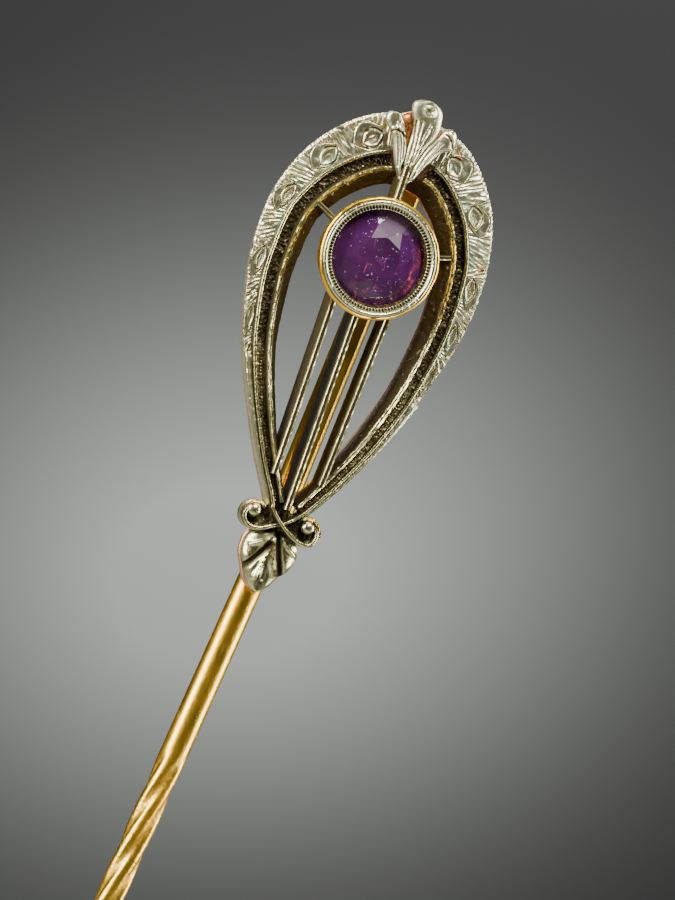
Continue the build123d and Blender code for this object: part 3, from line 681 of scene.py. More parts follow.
def amethyst():
    """Round brilliant: table and girdle rings joined by star, kite and break facets, and a pavilion of mains.

    A corner between two mains lies on the plane of both: its height falls from the table to the girdle in
    proportion to its radius times the cosine of half the turn between mains. A crown facet is painted paler,
    a painted highlight, the more it faces the light above, and a little paler if it faces right, over a small
    random variation.
    """
    girdle, table, star, pavilion = 1.95, 0.87, 1.32, 0.85
    low, high = 1.66, 1.72
    crown, depth = 0.45, 1.05
    phase = math.radians(42)
    mains = phase + np.arange(8) * math.pi / 4
    halves = mains + math.pi / 8
    rim = phase + np.arange(16) * math.pi / 8
    half = math.cos(math.pi / 8)

    def ring(radius, angles, h):
        return body(radius * np.cos(angles), BEZEL_Z + radius * np.sin(angles), h)

    star_h = high + crown * (girdle - star * half) / (girdle - table)
    low_h = low - depth + depth * pavilion * half / girdle
    points = np.vstack([
        ring(table, mains, high + crown), ring(star, halves, star_h), ring(girdle, rim, high),
        ring(girdle, rim, low), ring(pavilion, halves, low_h), body(0.0, BEZEL_Z, low - depth)[None],
    ])
    # First index of each ring of points: table, stars, the girdle's two edges, pavilion; and the culet
    t, s, g, b, p, culet = 0, 8, 16, 32, 48, 56
    faces = [[t + k for k in range(8)]]
    for k in range(8):
        after, before = (k + 1) % 8, (k - 1) % 8
        corner, mid, beyond = 2 * k, 2 * k + 1, (2 * k + 2) % 16
        faces.append([s + k, t + after, t + k])
        faces.append([s + before, g + corner, s + k, t + k])
        faces.append([s + k, g + mid, g + corner])
        faces.append([s + k, g + beyond, g + mid])
        faces.append([culet, p + k, b + corner, p + before])
        faces.append([b + corner, b + mid, p + k])
        faces.append([b + mid, b + beyond, p + k])
        faces.append([g + corner, g + mid, b + mid, b + corner])
        faces.append([g + mid, g + beyond, b + beyond, b + mid])
    piece = solid("amethyst", points, faces, sharp=1)
    repair = bmesh.new()
    repair.from_mesh(piece.data)
    bmesh.ops.recalc_face_normals(repair, faces=repair.faces)
    repair.to_mesh(piece.data)
    repair.free()
    piece.data.shade_flat()
    middles = np.array([face.center[:] for face in piece.data.polygons]) / MM
    out_x, out_z = middles[:, 0], middles[:, 2] - BEZEL_Z
    away, angle = np.hypot(out_x, out_z), np.arctan2(out_z, out_x)
    off_axis = away > 0.3
    facing = (-middles[:, 1] > high) & off_axis
    lit = np.clip(np.cos(angle - math.radians(80)) - 0.50, 0, 1)
    tone_and_highlight = np.random.default_rng(161).uniform(0.0, 0.12, len(middles)) * off_axis
    # Painted highlights: crown facets facing the light above are made paler, the inner ring most, then those
    # facing right.
    tone_and_highlight = tone_and_highlight + facing * lit * np.where(away < 1.05, 2.1, 1.4)
    tone_and_highlight = tone_and_highlight + 0.35 * facing * np.clip(np.cos(angle) - 0.80, 0, 1) / 0.2
    layer = piece.data.attributes.new("tone_and_highlight", "FLOAT", "FACE")
    layer.data.foreach_set("value", np.clip(tone_and_highlight, 0, 1).astype(np.float32))
    return piece


# ---------------------------------------------------------------- fleur, palmette and scrolls

PETAL_TOP = 1.72
PETAL_BACK = 1.48
CREASE = 0.035


def leaf(name, left, right, rows, columns, front, back, patina_and_shade, edge=0.07):
    """Plate whose rows run straight from a left outline to a right one, both splines from foot to tip.

    front(x, u, t) gives the face's height, and the next function its patina and painted shade, with t from -1
    at the left to 1.
    The face falls by edge close to the outline, as a sixth power of t, so that its rim is soft.
    """
    a, b = spline(left, rows), spline(right, rows)
    t = np.sin(np.linspace(-1, 1, columns) * math.pi / 2)[None]
    share = (1 + t[..., None]) / 2
    flat = a[:, None] * (1 - share) + b[:, None] * share
    s = np.linspace(0, 1, rows)[:, None]
    x, u = flat[..., 0], flat[..., 1]
    ends = step(s, 0.0, 0.06) * step(1 - s, 0.0, 0.06)
    height = front(x, u, t) - edge * t**6 - edge * (1 - ends)
    return shell(name, x, u + FOOT, height, back, np.clip(patina_and_shade(x, u, t), 0, 1), merge=True)


def veins(x, u, lines, width):
    """Sum of bell curves of the distance to each line, in widths."""
    flat = np.stack([x, u], axis=-1)
    return sum(bump(distance_to(flat, np.array(line)), 0.0, width) for line in lines)


def centre_petal():
    """Middle petal: a dome with three creases, hollow down its right, and a ringed dimple near its tip."""
    creases = [
        [(0.0, 14.2), (0.02, 15.2), (-0.08, 16.4)],
        [(0.10, 14.8), (0.16, 15.6), (0.28, 16.4)],
        [(-0.10, 14.8), (-0.14, 15.6), (-0.30, 16.4)],
    ]
    left = [
        (-0.02, 13.88), (-0.21, 14.05), (-0.20, 14.5), (-0.25, 15.0), (-0.29, 15.9), (-0.40, 16.4),
        (-0.60, 16.75), (-0.60, 17.03), (-0.42, 17.18), (-0.05, 17.28),
    ]
    right = [
        (0.02, 13.88), (0.27, 14.05), (0.24, 14.5), (0.31, 15.0), (0.52, 15.65), (0.74, 16.1),
        (0.69, 16.55), (0.60, 16.95), (0.38, 17.18), (0.0, 17.28),
    ]

    def from_dimple(x, u):
        return np.hypot((x - 0.03) / 0.20, (u - 16.86) / 0.15)

    def face(x, u, t):
        gap = from_dimple(x, u)
        swell = 0.13 * (1 - t**2) * step(u, 14.2, 16.6)
        swell = swell - 0.10 * step(x - 0.30 * (u - 14.2), 0.02, 0.22) * (1 - step(u, 16.1, 16.5))
        height = PETAL_TOP - 0.02 + swell - 0.07 * veins(x, u, creases, CREASE)
        return height + 0.05 * bump(gap, 1.15, 0.22) - 0.09 * (1 - step(gap, 0.5, 1.0))

    def dirt_and_shade(x, u, t):
        in_dimple = 1 - step(from_dimple(x, u), 0.3, 1.0)
        # t**10 paints shade along the rim, where the face falls away sideways; the creases and the dimple
        # hold patina.
        return 0.7 * veins(x, u, creases, CREASE) + 0.45 * in_dimple + 0.6 * t**10

    return leaf("fleur_centre_petal", left, right, 170, 33, face, PETAL_BACK, dirt_and_shade)


def side_petal(name, left, right, low, creases, lip, ridge, groove):
    """Outer petal: a dome set low below PETAL_TOP, with two creases and a curled lip near its tip.

    The lip is a ridge beside a groove along one line. Each is given as its shift in x, its shift in u and
    its height.
    """
    ridge_x, ridge_u, ridge_height = ridge
    groove_x, groove_u, groove_depth = groove

    def face(x, u, t):
        height = PETAL_TOP - low + 0.10 * (1 - t**2) - 0.05 * veins(x, u, creases, CREASE)
        height = height + ridge_height * veins(x + ridge_x, u + ridge_u, lip, 0.07)
        return height - groove_depth * veins(x + groove_x, u + groove_u, lip, 0.04)

    def dirt_and_shade(x, u, t):
        in_groove = veins(x + groove_x, u + groove_u, lip, 0.045)
        # t**10 paints shade along the rim, where the face falls away sideways; the creases and the lip's
        # groove hold patina.
        return 0.6 * veins(x, u, creases, CREASE) + 0.8 * in_groove + 0.6 * t**10

    return leaf(name, left, right, 130, 27, face, PETAL_BACK, dirt_and_shade)


def fleur():
    """Three petals at the head's top: the middle one first, then the left and the right."""
    middle_petal = centre_petal()
    left_petal = side_petal(
        "fleur_left_petal",
        [(-0.24, 14.12), (-0.50, 14.5), (-0.76, 15.05), (-1.12, 15.7), (-1.46, 16.1), (-1.42, 16.34),
         (-1.18, 16.44)],
        [(-0.20, 14.12), (-0.24, 14.6), (-0.24, 15.05), (-0.44, 15.6), (-0.66, 16.05), (-0.92, 16.40),
         (-1.08, 16.46)],
        0.06,
        [[(-0.42, 14.5), (-0.62, 15.2), (-0.98, 16.1)], [(-0.34, 14.8), (-0.50, 15.4), (-0.80, 16.1)]],
        [[(-1.10, 15.78), (-0.92, 15.90), (-0.72, 15.86), (-0.52, 15.74)]],
        (0.0, 0.0, 0.06), (0.0, 0.10, 0.06),
    )
    right_petal = side_petal(
        "fleur_right_petal",
        [(0.10, 14.10), (0.17, 14.55), (0.29, 15.03), (0.52, 15.70), (0.78, 16.15), (0.96, 16.46),
         (1.14, 16.53)],
        [(0.36, 14.10), (0.52, 14.55), (0.76, 15.02), (1.18, 15.62), (1.42, 15.80), (1.51, 16.12),
         (1.38, 16.42), (1.22, 16.52)],
        0.04,
        [[(0.42, 14.5), (0.62, 15.2), (0.98, 15.9)], [(0.34, 14.6), (0.50, 15.2), (0.80, 15.9)]],
        [[(0.98, 16.26), (1.14, 16.22), (1.30, 16.06), (1.38, 15.88)]],
        (-0.06, -0.06, 0.05), (0.0, 0.0, 0.07),
    )
    return [middle_petal, left_petal, right_petal]


def fleur_backing():
    """Copper-coloured plate that shows between the petals, with hammered ripples."""
    left = [(-0.05, 15.2), (-0.62, 15.4), (-0.90, 15.9), (-0.86, 16.38), (-0.46, 16.68), (-0.05, 16.95)]
    right = [(0.05, 15.2), (0.60, 15.4), (0.88, 15.85), (0.84, 16.25), (0.48, 16.55), (0.05, 16.95)]

    def face(x, u, t):
        return 1.50 + 0.03 * np.sin(9 * x + 4 * u) - 0.1 * t**4

    return leaf("fleur_backing", left, right, 60, 25, face, FLANGE_TOP - 0.02, lambda x, u, t: 0.3)


PALMETTE_LEFT = [
    (-0.12, -0.25), (-0.58, -0.44), (-0.93, -0.70), (-1.02, -1.10), (-0.95, -1.58), (-0.72, -2.02),
    (-0.62, -2.22), (-0.42, -2.54), (-0.05, -2.84),
]
PALMETTE_RIGHT = [
    (0.12, -0.25), (0.62, -0.46), (1.02, -0.66), (1.13, -1.05), (1.00, -1.55), (0.76, -1.96),
    (0.62, -2.14), (0.42, -2.46), (0.0, -2.84),
]
PALMETTE_GROOVES = [
    [(-0.13, -0.85), (-0.40, -1.35), (-0.78, -1.98)],
    [(0.07, -0.45), (0.35, -1.15), (0.73, -1.95)],
]
PALMETTE_RIDGES = [
    [(-0.86, -1.10), (-0.56, -0.92), (-0.28, -0.74), (-0.14, -0.42)],
    [(-0.03, -0.6), (-0.10, -1.2), (-0.32, -2.25)],
    [(-0.01, -0.6), (0.12, -1.2), (0.32, -2.0)],
    [(1.00, -1.0), (0.60, -0.80), (0.25, -0.45)],
]


def palmette():
    """Three-lobed leaf: lobes swell between two deep grooves, with rounded ridges and a dark hollow."""
    def face(x, u, t):
        grooves = veins(x, u, PALMETTE_GROOVES, 0.10)
        ridges = veins(x, u, PALMETTE_RIDGES, 0.075)
        hollow = veins(x, u, [[(-0.02, -1.0), (0.0, -2.2)]], 0.11)
        swell = 0.16 * (1 - t**2) + 0.03 * np.sin(5 * u + 3 * x)
        return 1.36 + swell - 0.26 * grooves + 0.09 * ridges - 0.06 * hollow - 0.10 * step(u, -0.55, -0.30)

    def dirt_and_shade(x, u, t):
        grooves = veins(x, u, PALMETTE_GROOVES, 0.11)
        hollow = veins(x, u, [[(-0.02, -0.9), (0.16, -1.5), (0.45, -2.0)]], 0.16)
        # t**8 paints shade along the rim, where the face falls away sideways; the grooves hold patina, and a
        # line down the middle and the top are darker.
        return 0.95 * grooves + 0.6 * step(u, -0.62, -0.40) + 0.25 * t**8 + 0.55 * hollow

    return leaf("palmette", PALMETTE_LEFT, PALMETTE_RIGHT, 150, 61, face, 0.80, dirt_and_shade, edge=0.16)


def palmette_back():
    """Rose-gold plate under the palmette, a little wider than it on the left."""
    left = [(x - 0.05 if x < -0.3 else x, u) for x, u in PALMETTE_LEFT]

    def face(x, u, t):
        return 0.84 - 0.05 * t**8

    return leaf("palmette_backing", left, PALMETTE_RIGHT, 70, 21, face, BACK, lambda x, u, t: 0.2)


def foot_ground():
    """Ground plate under the crossing: two dished scroll discs and a neck that runs up between the rails."""
    grid = (170, 33)
    x = np.linspace(-1.55, 1.72, grid[0])[:, None]
    middle = np.where(x < 0, -0.97, 1.12)
    reach = np.where(x < 0, 0.58, 0.60)
    disc = np.sqrt(np.clip(reach**2 - (x - middle) ** 2, 0.0, None))
    neck = 0.50 * (1 - step(np.abs(x), 0.45, 1.0))
    upper = np.maximum(disc, np.maximum(neck, 1.06 * (1 - step(np.abs(x), 0.10, 0.42))))
    t = np.linspace(-1, 1, grid[1])[None]
    u = 0.02 + np.maximum(disc, neck) * np.minimum(t, 0) + upper * np.maximum(t, 0)
    gap = np.hypot(x - middle, u)
    hollow = 0.12 * (1 - step(gap, 0.25, 0.5))
    front = 1.30 - hollow + 0.02 * grain(grid, 191, 3) - 0.10 * t**8 - 0.06 * step(u, 0.5, 0.9)
    on_disc = np.abs(x) > 0.7
    dirt_and_shade = np.clip(0.58 - 0.50 * step(gap, 0.42, 0.56) * on_disc + 0.1 * grain(grid, 192, 4), 0, 1)
    gilt = 0.8 * step(np.abs(x) * 0.6 + u, 1.0, 1.2) * on_disc
    return shell("foot_plate", np.broadcast_to(x, grid), u + FOOT, front, BACK, dirt_and_shade, gilt, merge=True)


def scroll_ball(side):
    """Ball eye of a scroll: a sphere flattened in front and dented, gilt on its outer upper side."""
    radius, cx = (0.30, -1.19) if side < 0 else (0.27, 1.09)
    cu, ch = 0.20, 1.42
    polar = np.linspace(0, math.pi, 33)[:, None]
    turn = full_turn(48).T
    dent = 1 + 0.03 * np.sin(2 * turn + polar) * np.sin(polar) ** 2 - 0.05 * np.cos(polar) ** 4
    r = radius * dent
    x = cx + r * np.sin(polar) * np.cos(turn)
    u = cu + r * np.sin(polar) * np.sin(turn)
    h = ch + 0.95 * r * np.cos(polar)
    gilt = step(side * (x - cx) + (u - cu), 0.12, 0.34) * 0.9
    # Painted shade on the ball's sides and back, which face away from the front; only the front cap stays
    # clean.
    dirt_and_shade = 1 - step(h, ch - 0.02, ch + 0.14)
    return loops(f"{WORD[side]}_scroll_ball", body(x, u + FOOT, h), patina_and_shade=dirt_and_shade, gilt=gilt, merge=True)


# ---------------------------------------------------------------- stem

def stem():
    """Round wire from behind the head to the point: a circle carried down a line that leans 4.7 degrees below
    the head and 2.6 behind it.

    Over the grip the radius is lowered by four flutes that make one turn, faded in and out. The point is a
    cone, and behind the head the front is filed flat.
    """
    radius, tip_radius, sides = 0.55, 0.05, 72
    shaft, grip, shank, taper = 6.7, 10.3, 19.5, 7.55
    total = shaft + grip + shank + taper
    lean_below = math.radians(4.7)
    below, above = math.tan(lean_below), math.tan(math.radians(2.6))
    upper = np.linspace(FOOT + 14.25, 0.0, 220)[:-1]
    rounding = upper[0] - np.array([0.06, 0.03, 0.01])
    lower = -np.concatenate([
        np.linspace(0, shaft, 60)[:-1],
        np.linspace(shaft, shaft + grip, 420)[:-1],
        np.linspace(shaft + grip, shaft + grip + shank, 60)[:-1],
        np.linspace(total - taper, total, 90),
    ]) * math.cos(lean_below)
    z = np.sort(np.concatenate([upper, rounding, lower]))[::-1][:, None]
    fine = np.linspace(z.min(), z.max(), 6000)
    slope = below + (above - below) * step(fine, 0.0, 1.1)
    travel = np.concatenate([[0.0], np.cumsum((slope[1:] + slope[:-1]) / 2 * np.diff(fine))])
    travel -= np.interp(0.0, fine, travel)
    x = np.interp(z, fine, travel)
    lean = np.arctan(np.interp(z, fine, slope))
    reach = -z / math.cos(lean_below)
    turn = full_turn(sides).T
    in_grip = step(reach, shaft, shaft + 1.2) * (1 - step(reach, shaft + grip - 1.2, shaft + grip))
    phase = 2 * math.pi * (reach - shaft) / grip
    flutes = 0.5 - 0.5 * np.cos(4 * (turn - phase))
    cone = np.clip((total - reach) / taper, 0, 1) ** 0.85
    r = tip_radius + (radius - tip_radius) * np.where(reach > total - taper, cone, 1.0)
    r = r - 0.10 * flutes**1.6 * in_grip
    close = 1 - 0.9 * step(z, z.max() - 0.05, z.max())
    r = r * close + 0.002 * grain((len(z), sides), 201, 2) * in_grip
    h = r * np.sin(turn)
    h = np.where((h > BACK) & (z > 0), BACK, h)
    px = x + r * np.cos(turn) * np.cos(lean)
    pz = z - r * np.cos(turn) * np.sin(lean)
    wear = step(grain((len(z), sides), 203, 6), 1.2, 2.4)
    dirt_and_shade = np.clip(0.55 * flutes**3 * in_grip + 0.15 * wear, 0, 1)
    return loops("stem", body(px, pz, h), patina_and_shade=dirt_and_shade, sharp=50)


# ---------------------------------------------------------------- materials

def group(name, inputs, outputs):
    """Node group with float sockets, the inputs named with their defaults."""
    tree = bpy.data.node_groups.new(name, "ShaderNodeTree")
    for label, value in inputs.items():
        tree.interface.new_socket(label, in_out="INPUT", socket_type="NodeSocketFloat").default_value = value
    for label in outputs:
        tree.interface.new_socket(label, in_out="OUTPUT", socket_type="NodeSocketFloat")
    return tree, tree.nodes.new("NodeGroupInput"), tree.nodes.new("NodeGroupOutput")


def fresh_material(name):
    """New material, with its node tree and its shader."""
    material = bpy.data.materials.new(name)
    material.use_nodes = True
    return material, material.node_tree, material.node_tree.nodes["Principled BSDF"]


def node(tree, kind, **settings):
    """Shader node of one kind, with its settings."""
    made = tree.nodes.new("ShaderNode" + kind)
    for key, value in settings.items():
        setattr(made, key, value)
    return made


def object_place(tree):
    """Each point's place in the piece's own space, in metres."""
    return node(tree, "TexCoord").outputs["Object"]


def arithmetic(tree, operation, a, b):
    """Math node of two values, each a socket or a number."""
    made = node(tree, "Math", operation=operation)
    for slot, value in zip(made.inputs, (a, b)):
        if isinstance(value, (int, float)):
            slot.default_value = value
        else:
            tree.links.new(value, slot)
    return made.outputs[0]


def noise(tree, coords, scale, detail=3.0, rough=0.55):
    """Fractal noise, scale lumps to the metre."""
    made = node(tree, "TexNoise")
    made.inputs["Scale"].default_value = scale
    made.inputs["Detail"].default_value = detail
    made.inputs["Roughness"].default_value = rough
    tree.links.new(coords, made.inputs["Vector"])
    return made.outputs["Fac"]


def ramp(tree, value, low, high):
    """Straight ramp from 0 at low to 1 at high, held outside."""
    made = node(tree, "MapRange", clamp=True)
    tree.links.new(value, made.inputs["Value"])
    made.inputs["From Min"].default_value = low
    made.inputs["From Max"].default_value = high
    return made.outputs["Result"]


def patina_and_shade_group():
    """Patina and painted shade: the piece's darkening attribute broken up by noise, plus stains; and fine
    grain for the bump.
    """
    inputs = {"Patina and shade": 0.0, "Amount": 1.0, "Stains": 0.2}
    # The group's mask carries painted shade on sideways flanks as well as patina.
    tree, source, target = group("patina", inputs, ["Mask", "Grain", "Mottle"])
    coords = object_place(tree)
    coarse = noise(tree, coords, 900.0, 4.0)
    fine = noise(tree, coords, 9000.0, 3.0, 0.6)
    tiny = noise(tree, coords, 26000.0, 2.0, 0.6)
    edge = arithmetic(tree, "MULTIPLY", arithmetic(tree, "SUBTRACT", fine, 0.5), 0.9)
    patina_and_shade_amount = arithmetic(tree, "MULTIPLY", source.outputs["Patina and shade"], source.outputs["Amount"])
    stained = arithmetic(tree, "MULTIPLY", ramp(tree, coarse, 0.58, 0.75), source.outputs["Stains"])
    total = arithmetic(tree, "ADD", arithmetic(tree, "ADD", patina_and_shade_amount, stained), edge)
    tree.links.new(ramp(tree, total, 0.18, 0.80), target.inputs["Mask"])
    tree.links.new(arithmetic(tree, "ADD", fine, tiny), target.inputs["Grain"])
    tree.links.new(coarse, target.inputs["Mottle"])
    return tree


def scratches_group():
    """Polishing scratches: two noises stretched along different lines, thinned to hair lines."""
    tree, source, target = group("scratches", {"Fineness": 3000.0}, ["Lines"])
    coords = object_place(tree)
    found = []
    for turn, stretch in ((0.4, 14.0), (-0.9, 18.0)):
        mapping = node(tree, "Mapping")
        mapping.inputs["Rotation"].default_value = (0.1, turn, 0.2)
        mapping.inputs["Scale"].default_value = (stretch, 1.0, 1.0)
        tree.links.new(coords, mapping.inputs["Vector"])
        made = node(tree, "TexNoise")
        made.inputs["Detail"].default_value = 2.0
        tree.links.new(mapping.outputs[0], made.inputs["Vector"])
        tree.links.new(source.outputs["Fineness"], made.inputs["Scale"])
        found.append(ramp(tree, made.outputs["Fac"], 0.62, 0.70))
    tree.links.new(arithmetic(tree, "MAXIMUM", found[0], found[1]), target.inputs["Lines"])
    return tree


PATINA_AND_SHADE = patina_and_shade_group()
SCRATCHES = scratches_group()


def blend_colour(tree, share, first, second):
    """Mix of two colours, each a socket or a colour."""
    made = node(tree, "Mix", data_type="RGBA")
    tree.links.new(share, made.inputs["Factor"])
    for slot, value in ((made.inputs[6], first), (made.inputs[7], second)):
        if isinstance(value, tuple):
            slot.default_value = (*value, 1.0)
        else:
            tree.links.new(value, slot)
    return made.outputs[2]


def attribute(tree, name):
    """Value of one of the mesh's own attributes."""
    made = node(tree, "Attribute", attribute_name=name)
    return made.outputs["Fac"]


def metal(name, bright, tint, stain_and_shade, polish, amount, stains, gold=(0.80, 0.46, 0.13), grain_height=0.25):
    """Old metal: bright and tint mixed by mottling, gilt where its attribute says, and a dark colour for
    patina in the recesses and for painted shade on flanks that face sideways.

    Roughness rises with the patina and painted shade and falls with polish. Grain and scratches feed one
    bump.
    """
    material, tree, shader = fresh_material(name)
    aged = node(tree, "Group", node_tree=PATINA_AND_SHADE)
    aged.inputs["Amount"].default_value = amount
    aged.inputs["Stains"].default_value = stains
    tree.links.new(attribute(tree, "patina_and_shade"), aged.inputs["Patina and shade"])
    lines = node(tree, "Group", node_tree=SCRATCHES).outputs["Lines"]
    mask, fine, mottle = (aged.outputs[k] for k in ("Mask", "Grain", "Mottle"))
    base = blend_colour(tree, ramp(tree, mottle, 0.35, 0.65), bright, tint)
    gilded = blend_colour(tree, ramp(tree, attribute(tree, "gilt"), 0.15, 0.75), base, gold)
    # The mask paints the dark colour: patina in hollows and painted shade on sideways flanks.
    colour = blend_colour(tree, mask, gilded, stain_and_shade)
    tree.links.new(colour, shader.inputs["Base Color"])
    worn = arithmetic(tree, "MULTIPLY", mask, 0.38)
    dull = arithmetic(tree, "MULTIPLY", ramp(tree, mottle, 0.3, 0.7), 0.10)
    scored = arithmetic(tree, "MULTIPLY", lines, 0.10)
    smooth = arithmetic(tree, "ADD", scored, polish)
    rough = arithmetic(tree, "ADD", arithmetic(tree, "ADD", worn, dull), smooth)
    tree.links.new(rough, shader.inputs["Roughness"])
    bare = arithmetic(tree, "SUBTRACT", 1.0, arithmetic(tree, "MULTIPLY", mask, 0.55))
    tree.links.new(bare, shader.inputs["Metallic"])
    grained = arithmetic(tree, "MULTIPLY", fine, grain_height)
    height = arithmetic(tree, "SUBTRACT", grained, arithmetic(tree, "MULTIPLY", lines, 0.15))
    relief = node(tree, "Bump")
    relief.inputs["Strength"].default_value = 0.6
    relief.inputs["Distance"].default_value = 0.012 * MM
    tree.links.new(height, relief.inputs["Height"])
    tree.links.new(relief.outputs[0], shader.inputs["Normal"])
    shader.inputs["Specular IOR Level"].default_value = 0.2
    return material


def stone_material():
    """Purple quartz: clear glass, deeper in clouds, violet and pale on facets with a painted highlight, with
    faint wear.
    """
    material, tree, shader = fresh_material("amethyst")
    coords = object_place(tree)
    cloud = ramp(tree, noise(tree, coords, 420.0, 2.0), 0.35, 0.65)
    tone_and_highlight = attribute(tree, "tone_and_highlight")
    specks = ramp(tree, noise(tree, coords, 9000.0, 1.0), 0.69, 0.75)
    deep = blend_colour(tree, cloud, (0.034, 0.003, 0.036), (0.22, 0.05, 0.22))
    # Painted highlight: the facets' attribute, a little random and mostly painted light, turns them violet
    # and then pale.
    violet = blend_colour(tree, ramp(tree, tone_and_highlight, 0.0, 0.45), deep, (0.22, 0.035, 0.27))
    pale = blend_colour(tree, ramp(tree, tone_and_highlight, 0.45, 1.0), violet, (0.60, 0.48, 0.54))
    colour = blend_colour(tree, specks, pale, (0.85, 0.78, 0.82))
    tree.links.new(colour, shader.inputs["Base Color"])
    worn = arithmetic(tree, "ADD", arithmetic(tree, "MULTIPLY", specks, 0.35), 0.02)
    tree.links.new(worn, shader.inputs["Roughness"])
    shader.inputs["Transmission Weight"].default_value = 0.72
    shader.inputs["IOR"].default_value = 1.55
    shader.inputs["Metallic"].default_value = 0.0
    return material


def floor_material():
    """Pale matt paint with a faint mottle."""
    material, tree, shader = fresh_material("pale_floor")
    pale = (0.60, 0.60, 0.58)
    darker = tuple(0.94 * c for c in pale)
    mottle = noise(tree, object_place(tree), 30.0)
    tree.links.new(blend_colour(tree, mottle, pale, darker), shader.inputs["Base Color"])
    shader.inputs["Roughness"].default_value = 0.9
    return material


# Each metal: bright and tint colours, the dark colour of stains and painted shade, then polish, amount of
# patina and painted shade, and stains
WHITE = metal(
    "white_metal", (0.74, 0.67, 0.36), (0.46, 0.49, 0.27), (0.050, 0.034, 0.008), 0.20, 1.3, 0.25,
    gold=(0.70, 0.42, 0.18), grain_height=0.12,
)
ENGRAVED = metal(
    "engraved_metal", (0.76, 0.69, 0.40), (0.54, 0.56, 0.34), (0.070, 0.050, 0.015), 0.27, 1.1, 0.20,
    gold=(0.72, 0.45, 0.24), grain_height=0.12,
)
AGED = metal(
    "aged_metal", (0.66, 0.59, 0.29), (0.40, 0.41, 0.19), (0.044, 0.030, 0.007), 0.20, 1.3, 0.35,
    gold=(0.62, 0.38, 0.08), grain_height=0.16,
)
GROUND = metal(
    "stippled_ground", (0.54, 0.46, 0.23), (0.36, 0.30, 0.12), (0.034, 0.023, 0.006), 0.28, 1.05, 0.3,
    gold=(0.55, 0.34, 0.06), grain_height=0.3,
)
MILLED = metal(
    "milled_rim", (0.78, 0.71, 0.40), (0.56, 0.57, 0.35), (0.034, 0.023, 0.005), 0.20, 1.3, 0.15,
    gold=(0.50, 0.34, 0.08), grain_height=0.12,
)
ROSE = metal("rose_gold", (0.80, 0.44, 0.25), (0.66, 0.33, 0.19), (0.10, 0.04, 0.015), 0.26, 0.9, 0.25)
COPPER = metal("copper_gold", (0.88, 0.36, 0.10), (0.74, 0.25, 0.06), (0.12, 0.04, 0.01), 0.24, 0.8, 0.2)
GOLD = metal(
    "yellow_gold", (0.88, 0.55, 0.06), (0.80, 0.44, 0.035), (0.18, 0.09, 0.008), 0.27, 0.8, 0.12,
    grain_height=0.08,
)
STONE = stone_material()


# ---------------------------------------------------------------- putting it together

def place(piece, material, slot, *nodes):
    """Give a piece its material, set it on the one body, and hide the nodes it stands for. slot is not used.
    """
    piece.data.materials.append(material)
    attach(piece, "root")
    if nodes:
        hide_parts(*nodes)


def build():
    """Every piece, each in the place of the node it is named after."""
    place(border(), ENGRAVED, "white_metal", "engraved_border")
    place(backing(), ROSE, "rose_gold", "backing_plate")
    place(gallery(), GROUND, "dark_recess", "gallery_wall")
    for side, word in WORD.items():
        place(lower_side(side), ENGRAVED, "white_metal", f"{word}_lower_side")
        place(outer_rail(side), AGED, "white_metal", f"{word}_rail")
        place(channel(side), GROUND, "dark_recess", f"{word}_channel_floor")
        place(inner_rail(side), AGED, "white_metal", f"{word}_inner_rail")
        place(scroll_ball(side), WHITE, "white_metal", f"{word}_scroll_ball")
    for piece in bars() + stays():
        place(piece, AGED, "white_metal", piece.name)
    for piece in fleur():
        place(piece, ENGRAVED, "white_metal", piece.name)
    place(collar_cup(), GOLD, "yellow_gold", "bezel_cup")
    place(collar_rim(), MILLED, "white_metal", "bezel_rim")
    place(bearing(), GOLD, "yellow_gold", "stone_bearing")
    place(amethyst(), STONE, "amethyst", "amethyst")
    place(fleur_backing(), COPPER, "rose_gold", "fleur_backing")
    place(palmette(), AGED, "white_metal", "palmette")
    place(palmette_back(), ROSE, "rose_gold", "palmette_backing")
    place(foot_ground(), AGED, "dark_recess", "foot_plate")
    place(stem(), GOLD, "yellow_gold", "stem")


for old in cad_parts.values():
    old.name = "cad_" + old.name
build()


# ---------------------------------------------------------------- studio

def stage_sheet(name, line, material):
    """Studio sheet: a line of (y, z) in millimetres carried sideways."""
    reach = 900.0
    points = np.array([(x, y, z) for y, z in line for x in (-reach, reach)]) * MM
    faces = [(2 * i, 2 * i + 1, 2 * i + 3, 2 * i + 2) for i in range(len(line) - 1)]
    mesh = bpy.data.meshes.new(name)
    mesh.from_pydata(points.tolist(), [], faces)
    mesh.shade_smooth()
    mesh.materials.append(material)
    piece = add_object(name, mesh)


def backdrop_material():
    """Matt grey with a painted pool of light: lightest in a soft ellipse low on the left, and painted darker
    towards the top and the corners.
    """
    material, tree, shader = fresh_material("grey_backdrop_painted_light")
    # Painted light: the colour runs from painted shade at the edges to a painted pool of light in the middle
    # of the ellipse.
    dark, light = (0.003, 0.0032, 0.003), (0.19, 0.20, 0.185)
    shader = tree.nodes["Principled BSDF"]
    mapping = node(tree, "Mapping", vector_type="TEXTURE")
    mapping.inputs["Location"].default_value = (0.229, 0.90, -0.027)
    mapping.inputs["Rotation"].default_value = (0.0, math.radians(-20), 0.0)
    mapping.inputs["Scale"].default_value = (0.190, 1.0, 0.139)
    tree.links.new(object_place(tree), mapping.inputs["Vector"])
    light_pool = node(tree, "TexGradient", gradient_type="QUADRATIC_SPHERE")
    tree.links.new(mapping.outputs[0], light_pool.inputs["Vector"])
    soft = arithmetic(tree, "POWER", ramp(tree, light_pool.outputs["Fac"], 0.0, 0.75), 1.4)
    tree.links.new(blend_colour(tree, soft, dark, light), shader.inputs["Base Color"])
    shader.inputs["Roughness"].default_value = 0.95
    return material


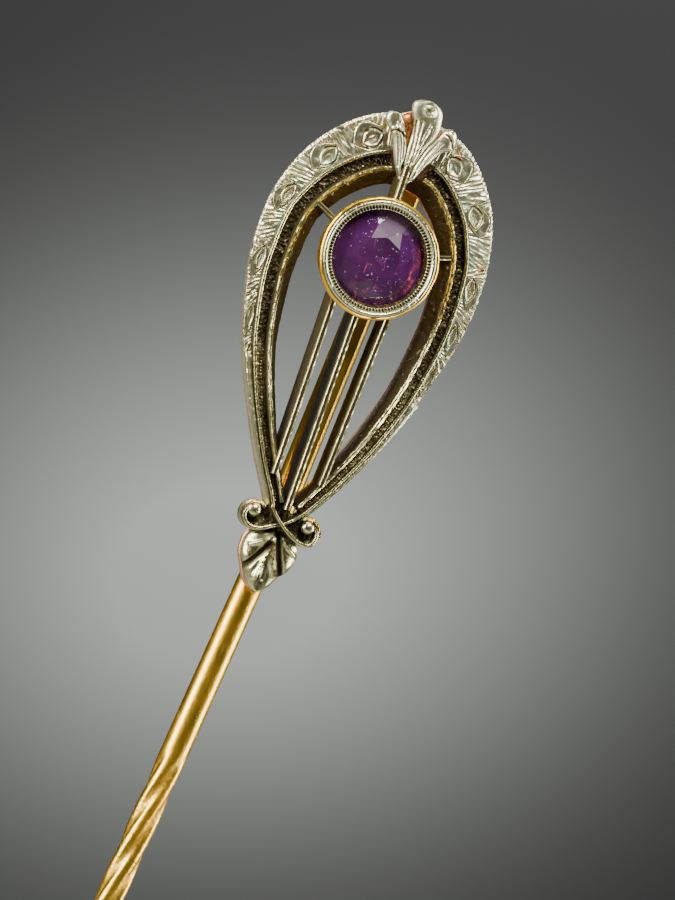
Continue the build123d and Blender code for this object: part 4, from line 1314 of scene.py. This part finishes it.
def sweep():
    """Pale floor well below the pin's point, and a grey backdrop far behind it."""
    floor_z, front_y, wall_y, top_z = -165.0, -700.0, 900.0, 700.0
    stage_sheet("studio_floor", [(front_y, floor_z), (wall_y, floor_z)], floor_material())
    stage_sheet("studio_backdrop", [(wall_y, floor_z), (wall_y, top_z)], backdrop_material())


def lamp(name, place_mm, size, power, aim=(0.0, 0.0, 12.0), tall=None):
    """Area lamp, size wide and tall high in millimetres, aimed at the head unless aim says otherwise."""
    light = bpy.data.lights.new(name, "AREA")
    light.energy = power
    light.shape = "RECTANGLE"
    light.size = size * MM
    light.size_y = (tall or size) * MM
    holder = add_object(name, light)
    holder.location = Vector(place_mm) * MM
    holder.rotation_euler = (Vector(aim) * MM - holder.location).to_track_quat("-Z", "Y").to_euler()


def aim_camera():
    """Camera 15 degrees to the left of the head's face, level with it, turned 19.5 degrees about its view.

    The picture's long side takes in view_length at the distance of the rails' crossing.
    """
    azimuth, roll = math.radians(-15.0), math.radians(19.5)
    distance, view_length = 200.0, 34.615
    shift_right, shift_up = 1.0446, 3.422
    back = Vector((math.sin(azimuth), -math.cos(azimuth), 0.0))
    right = Vector((math.cos(azimuth), math.sin(azimuth), 0.0))
    up = back.cross(right)
    crossing = Vector((0.0, -RIDGE, FOOT))
    centre = crossing + shift_right * right + shift_up * up
    x_axis = math.cos(roll) * right + math.sin(roll) * up
    y_axis = math.cos(roll) * up - math.sin(roll) * right
    spot = (centre + distance * back) * MM
    data = bpy.data.cameras.new("camera")
    data.sensor_width = 36.0
    data.lens = data.sensor_width * distance / view_length
    data.clip_start = 0.001
    camera = add_object("camera", data)
    rows = [(x_axis[i], y_axis[i], back[i], spot[i]) for i in range(3)]
    camera.matrix_world = Matrix(rows + [(0, 0, 0, 1)])
    bpy.context.scene.camera = camera


def studio():
    """Two tall soft boxes at the sides, one above, washes for the backdrop and the back, and a dim sky."""
    sweep()
    lamp("left_box", (-190, -60, 50), 90, 1.2, tall=200)
    lamp("right_box", (190, -30, 40), 80, 0.8, tall=200)
    lamp("top_box", (10, -130, 180), 90, 0.75)
    lamp("backdrop_wash", (250, 600, 260), 200, 5.0, aim=(240.0, 900.0, 0.0))
    lamp("back_box", (-60, 240, 160), 120, 0.5)
    world = bpy.data.worlds.new("studio")
    world.use_nodes = True
    sky = world.node_tree.nodes["Background"]
    sky.inputs["Color"].default_value = (0.80, 0.82, 0.74, 1.0)
    sky.inputs["Strength"].default_value = 0.05
    bpy.context.scene.world = world


studio()
aim_camera()
